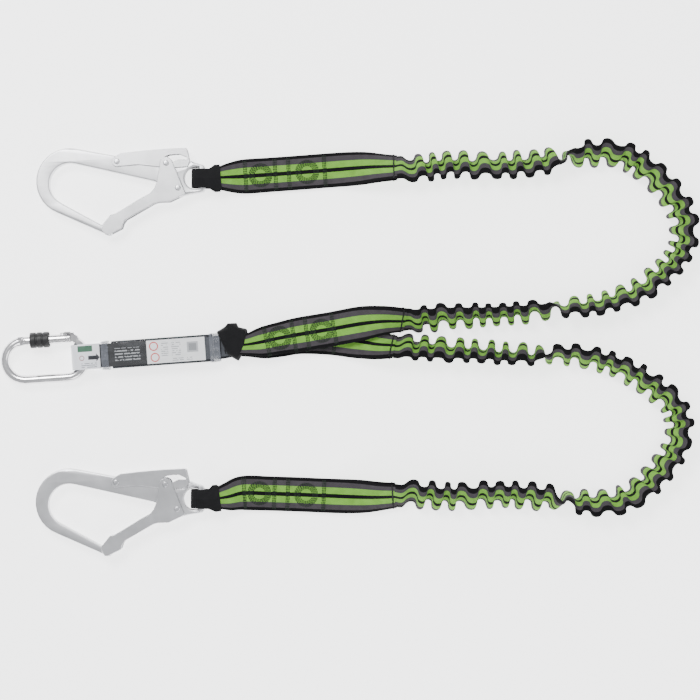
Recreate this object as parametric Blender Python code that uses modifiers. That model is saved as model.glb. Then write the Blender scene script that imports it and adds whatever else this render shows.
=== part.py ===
"""Twin-leg shock absorbing lanyard: screw karabiner, tear-web absorber and two scaffold hooks.

Units are metres and +Z is up.  The lanyard lies on the plane z = 0, karabiner to -X, hooks on the
+Y and -Y legs, and the legs' gathered stretches bend round at +X.
"""
import math

import bmesh
import bpy
import numpy as np
from mathutils import Matrix, Vector

# ---------------------------------------------------------------- driving dimensions
GAP = 0.0003              # clearance between pieces that touch
WEB_T = 0.0024            # webbing thickness
WEB_W = 0.041             # leg webbing width
LOOP_W = 0.021            # leg webbing width where it passes the hook eye
COVER_T = 0.0012          # black loop cover thickness
COVER_W = 0.0226          # its width in the hook eye
LOOP_SLACK = 0.0008       # room between the eye bar and the webbing round it
LOOP_START = -0.0020      # middle of the fold's turn, from the middle of the eye bar
SLEEVE_R = 0.0165         # outer radius of a gathered leg stretch
SLEEVE_END = 0.76         # share of that radius at its sewn ends
SLEEVE_WALL = 0.0055      # depth of the gathers round the elastic core
CORE_R = 0.0055           # elastic core radius

HOOK_T = 0.012            # hook body thickness
HOOK_BEVEL = 0.0022       # rounding of the hook body's edges
LEVER_T = 0.0015          # lever sheet
SHEET_EDGE = 0.0006       # chamfer on the lever's and the gate's sheet
GATE_T = 0.002            # hook gate sheet
STITCH_T = 0.0005         # how far the stitching stands up
STITCH_GAP = 0.0004
TACK_LIFT = 0.0006        # more, where the web twists
SHEET_GAP = 0.0004        # side clearance between body, lever and gate
RIVET_R = 0.0025
RIVET_HEAD_R = 0.0034
RIVET_HEAD = 0.0014
EYE_BAR = 0.0084          # length of the eye's end bar along the hook
EYE_HALF = 0.0128         # half width of the eye
HOOK_GATE_TRAVEL = math.radians(28)
LEVER_RATIO = 0.14        # lever angle for each gate angle

KB_ROD_R = 0.0053         # karabiner rod radius
KB_HALF = 0.0232          # half height of its centreline
KB_STRAIGHT = 0.025       # half length of its straight sides
KB_HINGE_X = -0.0235
KB_LATCH_X = 0.0275
KB_GATE_R = 0.0056
KB_TANG = 0.005           # thickness of the tang and nose tab
KB_SLEEVE_R = KB_GATE_R + 0.0039
KB_SLEEVE_L = 0.0225
KB_SLEEVE_X = -0.0165     # left end of the sleeve when unscrewed
KB_BUSH_WALL = 0.0011
KB_TILT = math.radians(3.3)
KB_AXIS_X = 0.0449        # swing axis in the harness loop

PACK_TILT = math.radians(4.1)
PACK_W = 0.0362           # shrink cover width
PACK_WALL = 0.0007
PACK_X0 = 0.0222          # cover's left end from the karabiner's swing axis
PACK_L = 0.1415
TEAR_W = 0.0325
TEAR_LAYERS = 7
PACK_H = TEAR_LAYERS * (WEB_T + GAP) + 0.0036   # shrink cover height
LOOP_IN_R = 0.0089        # harness loop's inner radius
HARNESS_W = 0.028
HARNESS_START = -0.0013     # middle of the loop's turn, from the karabiner's swing axis
CARD_T = 0.0006
TAG_T = 0.0006
TAG_W = 0.030

HOOK_Z = HOOK_T / 2 + 2 * SHEET_GAP + LEVER_T + GATE_T + RIVET_HEAD
PACK_Z = 0.0128
PACK_END = Vector((0.020281, 0.005704, PACK_Z))   # middle of the cover's right end
KB_POINT = PACK_END - (PACK_X0 + PACK_L) * Vector((math.cos(PACK_TILT), math.sin(PACK_TILT), 0))
HOOK_POINTS = {"a": Vector((-0.0015, 0.2064, HOOK_Z)), "b": Vector((-0.0024, -0.1746, HOOK_Z))}

# Each sewn band: x, y, z, width, roll in degrees, from its folded end to its cross stitch.
OUTER_BANDS = {
    "a": [(-0.0015, 0.2064, HOOK_Z, LOOP_W, 0), (0.010, 0.2064, HOOK_Z, LOOP_W, 0),
          (0.030, 0.2080, 0.0088, 0.034, 0), (0.048, 0.2094, 0.0052, WEB_W, 0),
          (0.079, 0.2116, 0.0042, WEB_W, 0), (0.115, 0.2142, 0.0042, WEB_W, 0),
          (0.155, 0.2172, 0.0050, WEB_W, 0), (0.187, 0.2186, 0.0110, WEB_W, -14),
          (0.210, 0.2188, 0.0158, 0.040, -30), (0.2306, 0.2189, 0.0166, 0.038, -38)],
    "b": [(-0.0024, -0.1746, HOOK_Z, LOOP_W, 0), (0.010, -0.1746, HOOK_Z, LOOP_W, 0),
          (0.030, -0.1720, 0.0088, 0.034, 0), (0.048, -0.1683, 0.0052, WEB_W, 0),
          (0.079, -0.1690, 0.0042, WEB_W, 0), (0.115, -0.1702, 0.0042, WEB_W, 0),
          (0.155, -0.1718, 0.0050, WEB_W, 0), (0.187, -0.1720, 0.0110, WEB_W, 14),
          (0.210, -0.1713, 0.0158, 0.040, 30), (0.2293, -0.1702, 0.0166, 0.038, 38)],
}
INNER_BANDS = {
    "a": [(0.0400, 0.0080, 0.0188, 0.022, 0), (0.0530, 0.0090, 0.0186, 0.026, 0),
          (0.0700, 0.0120, 0.0162, 0.035, 0), (0.0910, 0.0166, 0.0136, 0.038, 0),
          (0.1150, 0.0210, 0.0128, WEB_W, 0), (0.1510, 0.0270, 0.0140, WEB_W, 0),
          (0.1860, 0.0335, 0.0200, WEB_W, 8), (0.2120, 0.0372, 0.0220, 0.038, 28),
          (0.2400, 0.0382, 0.0170, 0.036, 45)],
    "b": [(0.0400, 0.0060, 0.0042, 0.022, 0), (0.0530, 0.0070, 0.0042, 0.026, 0),
          (0.0700, 0.0095, 0.0042, 0.035, 0), (0.0910, 0.0130, 0.0042, 0.038, 0),
          (0.1150, 0.0180, 0.0042, WEB_W, 0), (0.1500, 0.0170, 0.0046, WEB_W, 0),
          (0.1820, 0.0130, 0.0068, WEB_W, -7), (0.2050, 0.0082, 0.0126, 0.038, -28),
          (0.2281, 0.0060, 0.0170, 0.036, -45)],
}
# Centreline points of each gathered stretch, x and y, from the hook end round to the absorber end.
ROUTES = {
    "a": [(0.2322, 0.2189), (0.2579, 0.2192), (0.2936, 0.2235), (0.3293, 0.2228), (0.3650, 0.2231),
          (0.4007, 0.2261), (0.4364, 0.2320), (0.4721, 0.2360), (0.4959, 0.2332), (0.5161, 0.2245),
          (0.5363, 0.2080), (0.5540, 0.1888), (0.5660, 0.1690), (0.5712, 0.1475), (0.5692, 0.1270),
          (0.5578, 0.1071), (0.5387, 0.0892), (0.5161, 0.0730), (0.4840, 0.0610), (0.4530, 0.0550),
          (0.4161, 0.0515), (0.3828, 0.0470), (0.3471, 0.0440), (0.3114, 0.0425), (0.2817, 0.0410),
          (0.2580, 0.0392), (0.2420, 0.0382)],
    "b": [(0.2312, -0.1702), (0.2579, -0.1698), (0.2936, -0.1725), (0.3293, -0.1710),
          (0.3650, -0.1702), (0.4007, -0.1726), (0.4364, -0.1761), (0.4721, -0.1785),
          (0.4959, -0.1750), (0.5161, -0.1652), (0.5336, -0.1500), (0.5500, -0.1309),
          (0.5620, -0.1083), (0.5650, -0.0845), (0.5578, -0.0630), (0.5387, -0.0450),
          (0.5180, -0.0310), (0.4899, -0.0165), (0.4602, -0.0075), (0.4364, -0.0040),
          (0.4007, -0.0036), (0.3650, -0.0020), (0.3293, 0.0010), (0.2936, 0.0030),
          (0.2638, 0.0052), (0.2460, 0.0058), (0.2306, 0.0060)],
}
ROUTE_STEP = 0.026        # spacing of the gathered stretch's points

COLOURS = {
    "silver": ((0.80, 0.81, 0.82, 1), 0.35, 0.9),
    "zinc": ((0.72, 0.73, 0.75, 1), 0.25, 1.0),
    "spring": ((0.45, 0.46, 0.48, 1), 0.35, 1.0),
    "green_web": ((0.27, 0.52, 0.10, 1), 0.85, 0.0),
    "grey_web": ((0.10, 0.10, 0.11, 1), 0.85, 0.0),
    "black_web": ((0.012, 0.012, 0.014, 1), 0.80, 0.0),
    "thread": ((0.02, 0.07, 0.03, 1), 0.70, 0.0),
    "elastic": ((0.75, 0.75, 0.70, 1), 0.80, 0.0),
    "black_plastic": ((0.02, 0.02, 0.022, 1), 0.40, 0.0),
    "clear_film": ((0.60, 0.63, 0.66, 0.35), 0.15, 0.0),
    "card": ((0.90, 0.90, 0.90, 1), 0.45, 0.0),
    "tag": ((0.80, 0.81, 0.85, 1), 0.60, 0.0),
}


# ---------------------------------------------------------------- scene helpers
def clear_scene():
    for obj in list(bpy.data.objects):
        bpy.data.objects.remove(obj, do_unlink=True)


def make_collection(name):
    collection = bpy.data.collections.new(name)
    bpy.context.scene.collection.children.link(collection)
    return collection


def material(slot):
    found = bpy.data.materials.get(slot)
    if found:
        return found
    colour, roughness, metallic = COLOURS[slot]
    made = bpy.data.materials.new(slot)
    made.use_nodes = True
    shader = made.node_tree.nodes["Principled BSDF"]
    shader.inputs["Base Color"].default_value = colour
    shader.inputs["Roughness"].default_value = roughness
    shader.inputs["Metallic"].default_value = metallic
    shader.inputs["Alpha"].default_value = colour[3]
    return made


def link(name, mesh, slot, parent=None, collection=None):
    obj = bpy.data.objects.new(name, mesh)
    (collection or PARTS).objects.link(obj)
    if slot:
        mesh.materials.clear()
        mesh.materials.append(material(slot))
    obj.parent = parent
    return obj


def empty(name, location, tilt=0.0, parent=None):
    obj = bpy.data.objects.new(name, None)
    obj.empty_display_size = 0.01
    PARTS.objects.link(obj)
    obj.parent = parent
    obj.location = location
    obj.rotation_euler = (0, 0, tilt)
    return obj


def mesh_from(verts, faces, name):
    mesh = bpy.data.meshes.new(name)
    mesh.from_pydata([tuple(v) for v in verts], [], faces)
    mesh.update()
    work = bmesh.new()
    work.from_mesh(mesh)
    bmesh.ops.recalc_face_normals(work, faces=work.faces)
    work.to_mesh(mesh)
    work.free()
    return mesh


def mesh_of_curve(curve):
    """The curve's closed mesh, with its caps welded; the curve is removed."""
    obj = bpy.data.objects.new("draft", curve)
    CUTTERS.objects.link(obj)
    bpy.context.view_layer.update()
    evaluated = obj.evaluated_get(bpy.context.evaluated_depsgraph_get())
    mesh = bpy.data.meshes.new_from_object(evaluated)
    bpy.data.objects.remove(obj, do_unlink=True)
    bpy.data.curves.remove(curve)
    work = bmesh.new()
    work.from_mesh(mesh)
    bmesh.ops.remove_doubles(work, verts=work.verts, dist=0.00001)
    bmesh.ops.recalc_face_normals(work, faces=work.faces)
    work.to_mesh(mesh)
    work.free()
    return mesh


def plate_mesh(loops, z0, z1, edge=0.0, rounds=0):
    """A flat outline with holes, between two heights, with its edges rounded back by `edge`."""
    curve = bpy.data.curves.new("outline", "CURVE")
    curve.dimensions = "2D"
    curve.fill_mode = "BOTH"
    curve.extrude = (z1 - z0) / 2 - edge
    curve.bevel_depth = edge
    curve.bevel_resolution = rounds
    curve.offset = -edge
    for loop in loops:
        spline = curve.splines.new("POLY")
        spline.points.add(len(loop) - 1)
        for point, (x, y) in zip(spline.points, loop):
            point.co = (x, y, 0, 1)
        spline.use_cyclic_u = True
    mesh = mesh_of_curve(curve)
    mesh.transform(Matrix.Translation((0, 0, (z0 + z1) / 2)))
    return mesh


def rod_mesh(points, radius, sides_level=3, radii=None, caps=True):
    curve = bpy.data.curves.new("rod", "CURVE")
    curve.dimensions = "3D"
    curve.bevel_depth = radius
    curve.bevel_resolution = sides_level
    curve.use_fill_caps = caps
    spline = curve.splines.new("POLY")
    spline.points.add(len(points) - 1)
    for i, (x, y, z) in enumerate(points):
        spline.points[i].co = (x, y, z, 1)
        spline.points[i].radius = radii[i] if radii else 1.0
    return mesh_of_curve(curve)


def shifted(mesh, origin):
    mesh.transform(Matrix.Translation(-Vector(origin)))
    return mesh


def boolean(obj, tool_mesh, operation="DIFFERENCE", matrix=None):
    tool = bpy.data.objects.new(obj.name + "_tool", tool_mesh)
    CUTTERS.objects.link(tool)
    tool.parent = obj.parent
    tool.location = obj.location
    if matrix is not None:
        tool.matrix_local = obj.matrix_local @ matrix
    tool.hide_render = True
    tool.display_type = "WIRE"
    mod = obj.modifiers.new(operation.lower(), "BOOLEAN")
    mod.operation = operation
    mod.solver = "MANIFOLD" if operation == "UNION" else "EXACT"
    mod.object = tool
    return obj


def turned(name, profile, slot, parent, location, axis="Z", steps=20):
    """A solid of revolution; profile is (radius, height) pairs from top to bottom."""
    mesh = bpy.data.meshes.new(name)
    ring = profile[0] == profile[-1]
    spots = profile[:-1] if ring else profile
    edges = [(i, i + 1) for i in range(len(spots) - 1)] + ([(len(spots) - 1, 0)] if ring else [])
    mesh.from_pydata([(r, 0, h) for r, h in spots], edges, [])
    obj = link(name, mesh, slot, parent)
    obj.location = location
    if axis == "X":
        obj.rotation_euler = (0, math.pi / 2, 0)
    mod = obj.modifiers.new("turn", "SCREW")
    mod.axis = "Z"
    mod.angle = 2 * math.pi
    mod.steps = steps
    mod.render_steps = steps
    mod.use_merge_vertices = True
    mod.merge_threshold = 0.00005
    return obj


def ring_profile(r_in, r_out, low, high):
    return [(r_in, high), (r_out, high), (r_out, low), (r_in, low), (r_in, high)]


def arc(cx, cy, r, start, end, n):
    """Points on an arc, angles in degrees."""
    steps = [math.radians(start + (end - start) * i / n) for i in range(n + 1)]
    return [(cx + r * math.cos(a), cy + r * math.sin(a)) for a in steps]


def smooth(points, per_span=12):
    """A Catmull-Rom curve through the points, any number of columns."""
    p = np.array(points, float)
    p = np.vstack([2 * p[0] - p[1], p, 2 * p[-1] - p[-2]])
    out = []
    for i in range(1, len(p) - 2):
        for t in np.linspace(0, 1, per_span, endpoint=False):
            a, b, c, d = p[i - 1], p[i], p[i + 1], p[i + 2]
            out.append(0.5 * (2 * b + (c - a) * t + (2 * a - 5 * b + 4 * c - d) * t ** 2
                              + (3 * b - a - 3 * c + d) * t ** 3))
    out.append(p[-2])
    return np.array(out)


def rounded(points, radius, n=3):
    """A polygon with each corner cut back into a small quadratic round."""
    out = []
    for i, here in enumerate(points):
        here = Vector(here)
        before = Vector(points[i - 1]) - here
        after = Vector(points[(i + 1) % len(points)]) - here
        cut = min(radius, before.length * 0.45, after.length * 0.45)
        a = here + before.normalized() * cut
        b = here + after.normalized() * cut
        for k in range(n + 1):
            t = k / n
            out.append(tuple(a * (1 - t) ** 2 + here * 2 * t * (1 - t) + b * t ** 2))
    return out


# ---------------------------------------------------------------- webbing
class Band:
    """The middle line of a strap, with its width and roll, read at a distance along it."""

    def __init__(self, stations):
        dense = smooth(stations)
        self.dense = dense
        steps = np.linalg.norm(np.diff(dense[:, :3], axis=0), axis=1)
        self.s = np.concatenate([[0], np.cumsum(steps)])
        self.length = float(self.s[-1])

    def frame(self, s):
        inside = min(max(s, 0.0), self.length)
        at = lambda d, c: float(np.interp(d, self.s, self.dense[:, c]))
        ahead, behind = min(inside + 0.002, self.length), max(inside - 0.002, 0.0)
        tangent = Vector([at(ahead, c) - at(behind, c) for c in range(3)]).normalized()
        place = Vector([at(inside, c) for c in range(3)]) + tangent * (s - inside)
        across = Vector((0, 0, 1)).cross(tangent).normalized()
        up = tangent.cross(across)
        roll = math.radians(at(inside, 4))
        side = across * math.cos(roll) + up * math.sin(roll)
        normal = up * math.cos(roll) - across * math.sin(roll)
        return place, side, normal, at(inside, 3)

    def place(self, s, v, h):
        place, side, normal, _ = self.frame(s)
        return place + side * v + normal * h


def strap_mesh(name, path, thickness):
    """A closed strap along (centre, side, normal, width) stations, split the same way on facing layers."""
    verts, faces = [], []
    for centre, side, normal, width in path:
        for v, h in ((-0.5, -0.5), (0.5, -0.5), (0.5, 0.5), (-0.5, 0.5)):
            verts.append(centre + side * v * width + normal * h * thickness)
    for i in range(len(path) - 1):
        for k in range(4):
            a, b = 4 * i + k, 4 * i + (k + 1) % 4
            if (verts[a] - verts[b + 4]).length < (verts[b] - verts[a + 4]).length:
                faces += [(a, b, b + 4), (a, b + 4, a + 4)]
            else:
                faces += [(a, b, a + 4), (b, b + 4, a + 4)]
    last = 4 * (len(path) - 1)
    faces.append((3, 2, 1, 0))
    faces.append((last, last + 1, last + 2, last + 3))
    return mesh_from(verts, faces, name)


def folded_path(band, reach, start, height, width_of=None, turn_steps=8, step=0.008):
    """Stations that come in on top, turn round the fold at distance `start` and go back below.

    height(s) is the strap's distance from the band's middle surface."""
    count = max(2, int((reach - start) / step))
    stops = [reach + (start - reach) * i / count for i in range(count + 1)]
    path = []
    for s in stops:
        place, side, normal, width = band.frame(s)
        path.append((place + normal * height(s), side, normal, width_of(s) if width_of else width))
    centre, side, normal, width = band.frame(start)
    forward = side.cross(normal)
    for i in range(1, turn_steps):
        a = math.pi * i / turn_steps
        out = normal * math.cos(a) - forward * math.sin(a)
        path.append((centre + out * height(start), side, out, width_of(start) if width_of else width))
    for s in reversed(stops):
        place, side, normal, width = band.frame(s)
        path.append((place - normal * height(s), side, -normal, width_of(s) if width_of else width))
    return path


def loop_height(inner, straight, taper, layer):
    """Distance of a folded strap's middle from the band: open at the loop, closed further on."""
    closed = (WEB_T + GAP) / 2

    def height(s):
        share = min(max((s - straight) / taper, 0.0), 1.0)
        share = share * share * (3 - 2 * share)
        base = (inner + WEB_T / 2) * (1 - share) + closed * share
        return base + layer
    return height


def flat_mark(mark, low, high):
    """One stitched mark drawn flat: x along the band, y across it."""
    if mark[0] == "bar":
        _, s, half, width = mark
        rows = [-half, -half / 3, half / 3, half]
        loop = [(s - width / 2, v) for v in rows[::-1]] + [(s + width / 2, v) for v in rows]
        return plate_mesh([loop], low, high)
    _, s, r_in, r_out = mark
    return plate_mesh([arc(s, 0, r_out, 0, 337.5, 15), arc(s, 0, r_in, 0, 324, 9)], low, high)


def stitch_group(name, band, height, marks, slot="thread", lift=0.0):
    """Raised thread patches on the band's upper face, joined by the run of thread between them."""
    first, last = marks[0][1], marks[-1][1]
    if len(marks) == 1:
        mesh = flat_mark(marks[0], 0, STITCH_T)
    else:
        run = plate_mesh([[(first, -0.001), (last, -0.001), (last, 0.001), (first, 0.001)]],
                         STITCH_T * 0.1, STITCH_T * 0.7)
        draft = link(name, run, None)
        for i, mark in enumerate(marks):
            step = i % 3
            boolean(draft, flat_mark(mark, STITCH_T * 0.02 * step, STITCH_T * (1 - 0.03 * step)), "UNION")
        bpy.context.view_layer.update()
        evaluated = draft.evaluated_get(bpy.context.evaluated_depsgraph_get())
        mesh = bpy.data.meshes.new_from_object(evaluated)
        for mod in list(draft.modifiers):
            bpy.data.objects.remove(mod.object, do_unlink=True)
        bpy.data.objects.remove(draft, do_unlink=True)
    for vert in mesh.vertices:
        s, v, up = vert.co
        vert.co = band.place(s, v, height(s) + WEB_T / 2 + STITCH_GAP + lift + up)
    return link(name, mesh, slot)


OUTER_MARKS = (0.052, 0.070, 0.088, 0.104, 0.126, 0.147)   # bar, ring, bar, bar, ring, bar
INNER_MARKS = (0.036, 0.052, 0.069, 0.085, 0.103, 0.118)


def stitch_marks(places):
    bar1, ring1, bar2, bar3, ring2, bar4 = places
    bars = [("bar", s, 0.0185, 0.0045) for s in (bar1, bar2, bar3, bar4)]
    rings = [("ring", s, 0.0075, 0.0135) for s in (ring1, ring2)]
    return bars[:1] + rings[:1] + bars[1:3] + rings[1:] + bars[3:]


def build_outer_band(leg):
    """The sewn hook end of a leg, its cover, stitching and end tack."""
    band = Band(OUTER_BANDS[leg])
    inner = HOOK_T / 2 + LOOP_SLACK
    height = loop_height(inner, 0.012, 0.036, 0.0)
    path = folded_path(band, band.length, LOOP_START, height, turn_steps=7)
    link("leg_%s_hook_end" % leg, strap_mesh("web", path, WEB_T), "green_web")

    cover_height = loop_height(inner, 0.012, 0.036, WEB_T / 2 + GAP + COVER_T / 2)
    wide = lambda s: COVER_W if s < 0.009 else min(0.031, COVER_W + (s - 0.009) * 1.4)
    cover = folded_path(band, 0.0205, LOOP_START, cover_height, wide, step=0.004)
    link("leg_%s_loop_cover" % leg, strap_mesh("cover", cover, COVER_T), "black_web")

    stitch_group("leg_%s_hook_end_stitching" % leg, band, height, stitch_marks(OUTER_MARKS))
    tack = [("bar", band.length - 0.004, 0.017, 0.003)]
    stitch_group("leg_%s_hook_end_tack" % leg, band, height, tack, "black_web", TACK_LIFT)


def build_inner_band(leg):
    """The sewn absorber end of a leg, with its stitching and end tack."""
    band = Band(INNER_BANDS[leg])
    height = loop_height(GAP, 0.0, 0.010, 0.0)
    path = folded_path(band, band.length, 0.0, height, turn_steps=4)
    link("leg_%s_absorber_end" % leg, strap_mesh("web", path, WEB_T), "green_web")
    stitch_group("leg_%s_absorber_end_stitching" % leg, band, height, stitch_marks(INNER_MARKS))
    tack = [("bar", band.length - 0.004, 0.015, 0.003)]
    stitch_group("leg_%s_absorber_end_tack" % leg, band, height, tack, "black_web", TACK_LIFT)


def build_stretch(leg):
    """The gathered webbing tube, with the elastic core inside it."""
    dense = smooth(ROUTES[leg])
    steps = np.linalg.norm(np.diff(dense, axis=0), axis=1)
    s = np.concatenate([[0], np.cumsum(steps)])
    count = int(round(s[-1] / ROUTE_STEP))
    stops = np.linspace(0, s[-1], count + 1)
    points = [(float(np.interp(d, s, dense[:, 0])), float(np.interp(d, s, dense[:, 1])),
               SLEEVE_R + GAP) for d in stops]
    radii = []
    for d in stops:
        share = min(min(d, s[-1] - d) / 0.05, 1.0)
        radii.append(SLEEVE_END + (1 - SLEEVE_END) * share * share * (3 - 2 * share))
    sleeve = link("leg_%s_gathered_sleeve" % leg,
                  rod_mesh(points, SLEEVE_R, 2, radii, caps=False), "green_web")
    shell = sleeve.modifiers.new("wall", "SOLIDIFY")
    shell.thickness = SLEEVE_WALL
    shell.offset = -1
    for polygon in sleeve.data.polygons:
        polygon.use_smooth = True
    link("leg_%s_elastic_core" % leg, rod_mesh(points, CORE_R, 2), "elastic")


# ---------------------------------------------------------------- hooks
GATE_PIVOT = (-0.0279, -0.0117)
LEVER_PIVOT = (-0.1006, 0.0197)
LATCH_PIN = (-0.0421, 0.0177)
BEND = (-0.1570, -0.0040)      # centre of the hook's big bend
BEND_R = 0.0400
THROAT = (-0.1562, -0.0070)
THROAT_R = 0.0248


def helix(radius, turns, length, per_turn=10, axis="z"):
    points = []
    count = int(turns * per_turn)
    for i in range(count + 1):
        a = 2 * math.pi * i / per_turn
        along = length * (i / count - 0.5)
        x, y = radius * math.cos(a), radius * math.sin(a)
        points.append((x, y, along) if axis == "z" else (along, x, y))
    return points


def hook_body(prefix, root):
    outer = arc(*BEND, BEND_R, 79, 248, 16)
    outer += [(-0.1164, -0.0654), (-0.1080, -0.0680), (-0.1062, -0.0655), (-0.1095, -0.0605)]
    outer += arc(*THROAT, THROAT_R, 242.7, 78.2, 14)
    outer += [(-0.0560, -0.0038), (-0.0470, -0.0075), (-0.0400, -0.0160)]
    outer += arc(*GATE_PIVOT, 0.0105, 222, 290, 4)
    end = EYE_BAR / 2
    side = EYE_HALF + 0.0040
    outer += [(-0.0130, -side - 0.0018)] + rounded_corner(end, -side) + rounded_corner(end, side)
    outer += [(-0.0085, side + 0.0022), (-0.0125, side + 0.0041), (-0.0205, 0.0133)]
    outer += [(-0.0480, 0.0133), (-0.0570, 0.0205), (-0.0850, 0.0235), (-0.1000, 0.0262)]
    eye = [(-end, -EYE_HALF), (-end, EYE_HALF)] + arc(-0.0076, 0, EYE_HALF, 90, 270, 12)
    plate = plate_mesh([outer, eye], -HOOK_T / 2, HOOK_T / 2, HOOK_BEVEL, 1)
    body = link(prefix + "_body", plate, "silver", root)
    for pivot in (GATE_PIVOT, LEVER_PIVOT):
        hole = plate_mesh([arc(*pivot, RIVET_R + GAP, 0, 330, 11)], -HOOK_T, HOOK_T)
        boolean(body, hole)
        pocket = plate_mesh([arc(*pivot, SPRING_POCKET_R, 0, 340, 17)], -HOOK_T, -HOOK_T / 2 + SPRING_L)
        boolean(body, pocket)
    return body


def rounded_corner(x, y):
    """The eye's end corner at (x, y), rounded, in counter-clockwise order."""
    r = 0.0055
    sign = 1 if y > 0 else -1
    start = 0 if y > 0 else -90
    return arc(x - r, y - sign * r, r, start, start + 90, 4)


SPRING_L = 0.0050
SPRING_POCKET_R = 0.0052
SPRING_R = 0.0038
SPRING_WIRE = 0.0005


def hook_rivet(name, root, place, half_span):
    """A rivet with a domed head on each side of the sheets that it holds."""
    head = half_span + GAP
    top = head + RIVET_HEAD - GAP
    profile = [(0.0, top), (RIVET_HEAD_R * 0.7, top), (RIVET_HEAD_R, head + 0.0006), (RIVET_HEAD_R, head),
               (RIVET_R, head), (RIVET_R, -head), (RIVET_HEAD_R, -head), (RIVET_HEAD_R, -head - 0.0006),
               (RIVET_HEAD_R * 0.7, -top), (0.0, -top)]
    return turned(name, profile, "zinc", root, (place[0], place[1], 0), steps=14)


def hook_lever(prefix, root):
    px, py = LEVER_PIVOT
    inner = HOOK_T / 2 + SHEET_GAP
    outer = inner + LEVER_T
    top = [(-0.0179, 0.0361), (-0.0440, 0.0349), (-0.0697, 0.0327), (-0.0964, 0.0297)]
    loop = top + arc(px, py, 0.0062, 120, 290, 8)
    loop += [(-0.0747, 0.0160), (-0.0538, 0.0135), (-0.0313, 0.0122), (-0.0165, 0.0136), (-0.0140, 0.0197)]
    mesh = shifted(plate_mesh([loop], -outer, outer, SHEET_EDGE), (px, py, 0))
    lever = link(prefix + "_lever", mesh, "silver", root)
    lever.location = (px, py, 0)
    under = [(x, y - LEVER_T) for x, y in top]
    inside = [(0.0, 0.0361 - LEVER_T)] + under + [(-0.1200, 0.0282), (-0.1200, 0.0), (0.0, 0.0)]
    boolean(lever, shifted(plate_mesh([inside], -inner, inner), (px, py, 0)))
    boolean(lever, shifted(plate_mesh([arc(px, py, RIVET_R + GAP, 0, 330, 11)], -0.02, 0.02), (px, py, 0)))
    boolean(lever, shifted(plate_mesh([pin_slot()], -0.02, 0.02), (px, py, 0)))
    window = [(-0.0440, 0.0224), (-0.0172, 0.0224), (-0.0180, 0.0252), (-0.0240, 0.0280)]
    window += [(-0.0320, 0.0288), (-0.0400, 0.0276), (-0.0450, 0.0250)]
    boolean(lever, shifted(plate_mesh([window], -0.021, 0.021), (px, py, 0)))
    return lever


def pin_slot():
    """The latch pin's path seen from the lever while both turn together, as a round-ended slot."""
    reach = RIVET_R + 0.0006
    path = []
    for i in range(9):
        gate_turn = -HOOK_GATE_TRAVEL * i / 8
        pin = turn_about(LATCH_PIN, GATE_PIVOT, gate_turn)
        path.append(Vector(turn_about(pin, LEVER_PIVOT, -gate_turn * LEVER_RATIO)))
    left, right = [], []
    for i, here in enumerate(path):
        ahead = (path[min(i + 1, 8)] - path[max(i - 1, 0)]).normalized()
        off = Vector((-ahead.y, ahead.x)) * reach
        left.append(tuple(here + off))
        right.append(tuple(here - off))
    first, last = path[1] - path[0], path[8] - path[7]
    a0 = math.degrees(math.atan2(first.y, first.x))
    a1 = math.degrees(math.atan2(last.y, last.x))
    loop = right + arc(path[8].x, path[8].y, reach, a1 - 72, a1 + 72, 4)
    loop += left[::-1] + arc(path[0].x, path[0].y, reach, a0 + 108, a0 + 252, 4)
    return loop


def turn_about(point, centre, angle):
    dx, dy = point[0] - centre[0], point[1] - centre[1]
    return (centre[0] + dx * math.cos(angle) - dy * math.sin(angle),
            centre[1] + dx * math.sin(angle) + dy * math.cos(angle))


def hook_gate(prefix, root):
    px, py = GATE_PIVOT
    inner = HOOK_T / 2 + 2 * SHEET_GAP + LEVER_T
    outer = inner + GATE_T
    loop = [(-0.0229, -0.0087)] + arc(*LATCH_PIN, 0.0075, 25, 190, 8)
    loop += [(-0.0530, -0.0045), (-0.0560, -0.0122), (-0.0610, -0.0180), (-0.0747, -0.0254)]
    loop += [(-0.0964, -0.0387), (-0.1035, -0.0428), (-0.1081, -0.0437), (-0.1181, -0.0563)]
    loop += [(-0.1172, -0.0625), (-0.1140, -0.0672), (-0.1100, -0.0676), (-0.0947, -0.0596)]
    loop += [(-0.0930, -0.0540), (-0.0900, -0.0495), (-0.0560, -0.0298), (-0.0510, -0.0284)]
    loop += [(-0.0379, -0.0279), (-0.0187, -0.0187)]
    mesh = shifted(plate_mesh([loop], -outer, outer, SHEET_EDGE), (px, py, 0))
    gate = link(prefix + "_gate", mesh, "silver", root)
    gate.location = (px, py, 0)
    inside = [(-0.1260, -0.0800), (-0.1260, -0.0500), (-0.1120, -0.0500), (-0.1068, -0.0459)]
    inside += [(-0.0954, -0.0407), (-0.0736, -0.0272), (-0.0780, -0.0200), (-0.0780, 0.0300)]
    inside += [(0.0, 0.0300), (0.0, -0.0800)]
    boolean(gate, shifted(plate_mesh([inside], -inner, inner), (px, py, 0)))
    for place in (GATE_PIVOT, LATCH_PIN):
        hole = plate_mesh([arc(*place, RIVET_R + GAP, 0, 330, 11)], -0.02, 0.02)
        boolean(gate, shifted(hole, (px, py, 0)))
    return gate


def hook_spring(name, root, pivot):
    """A torsion spring in its pocket round the rivet."""
    length = SPRING_L - 2 * SPRING_WIRE - 2 * GAP
    points = helix(SPRING_R, 1.8, length - 0.0006)
    spring = link(name, rod_mesh(points, SPRING_WIRE, 1), "spring", root)
    spring.location = (pivot[0], pivot[1], -HOOK_T / 2 + SPRING_L / 2)
    return spring


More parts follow.
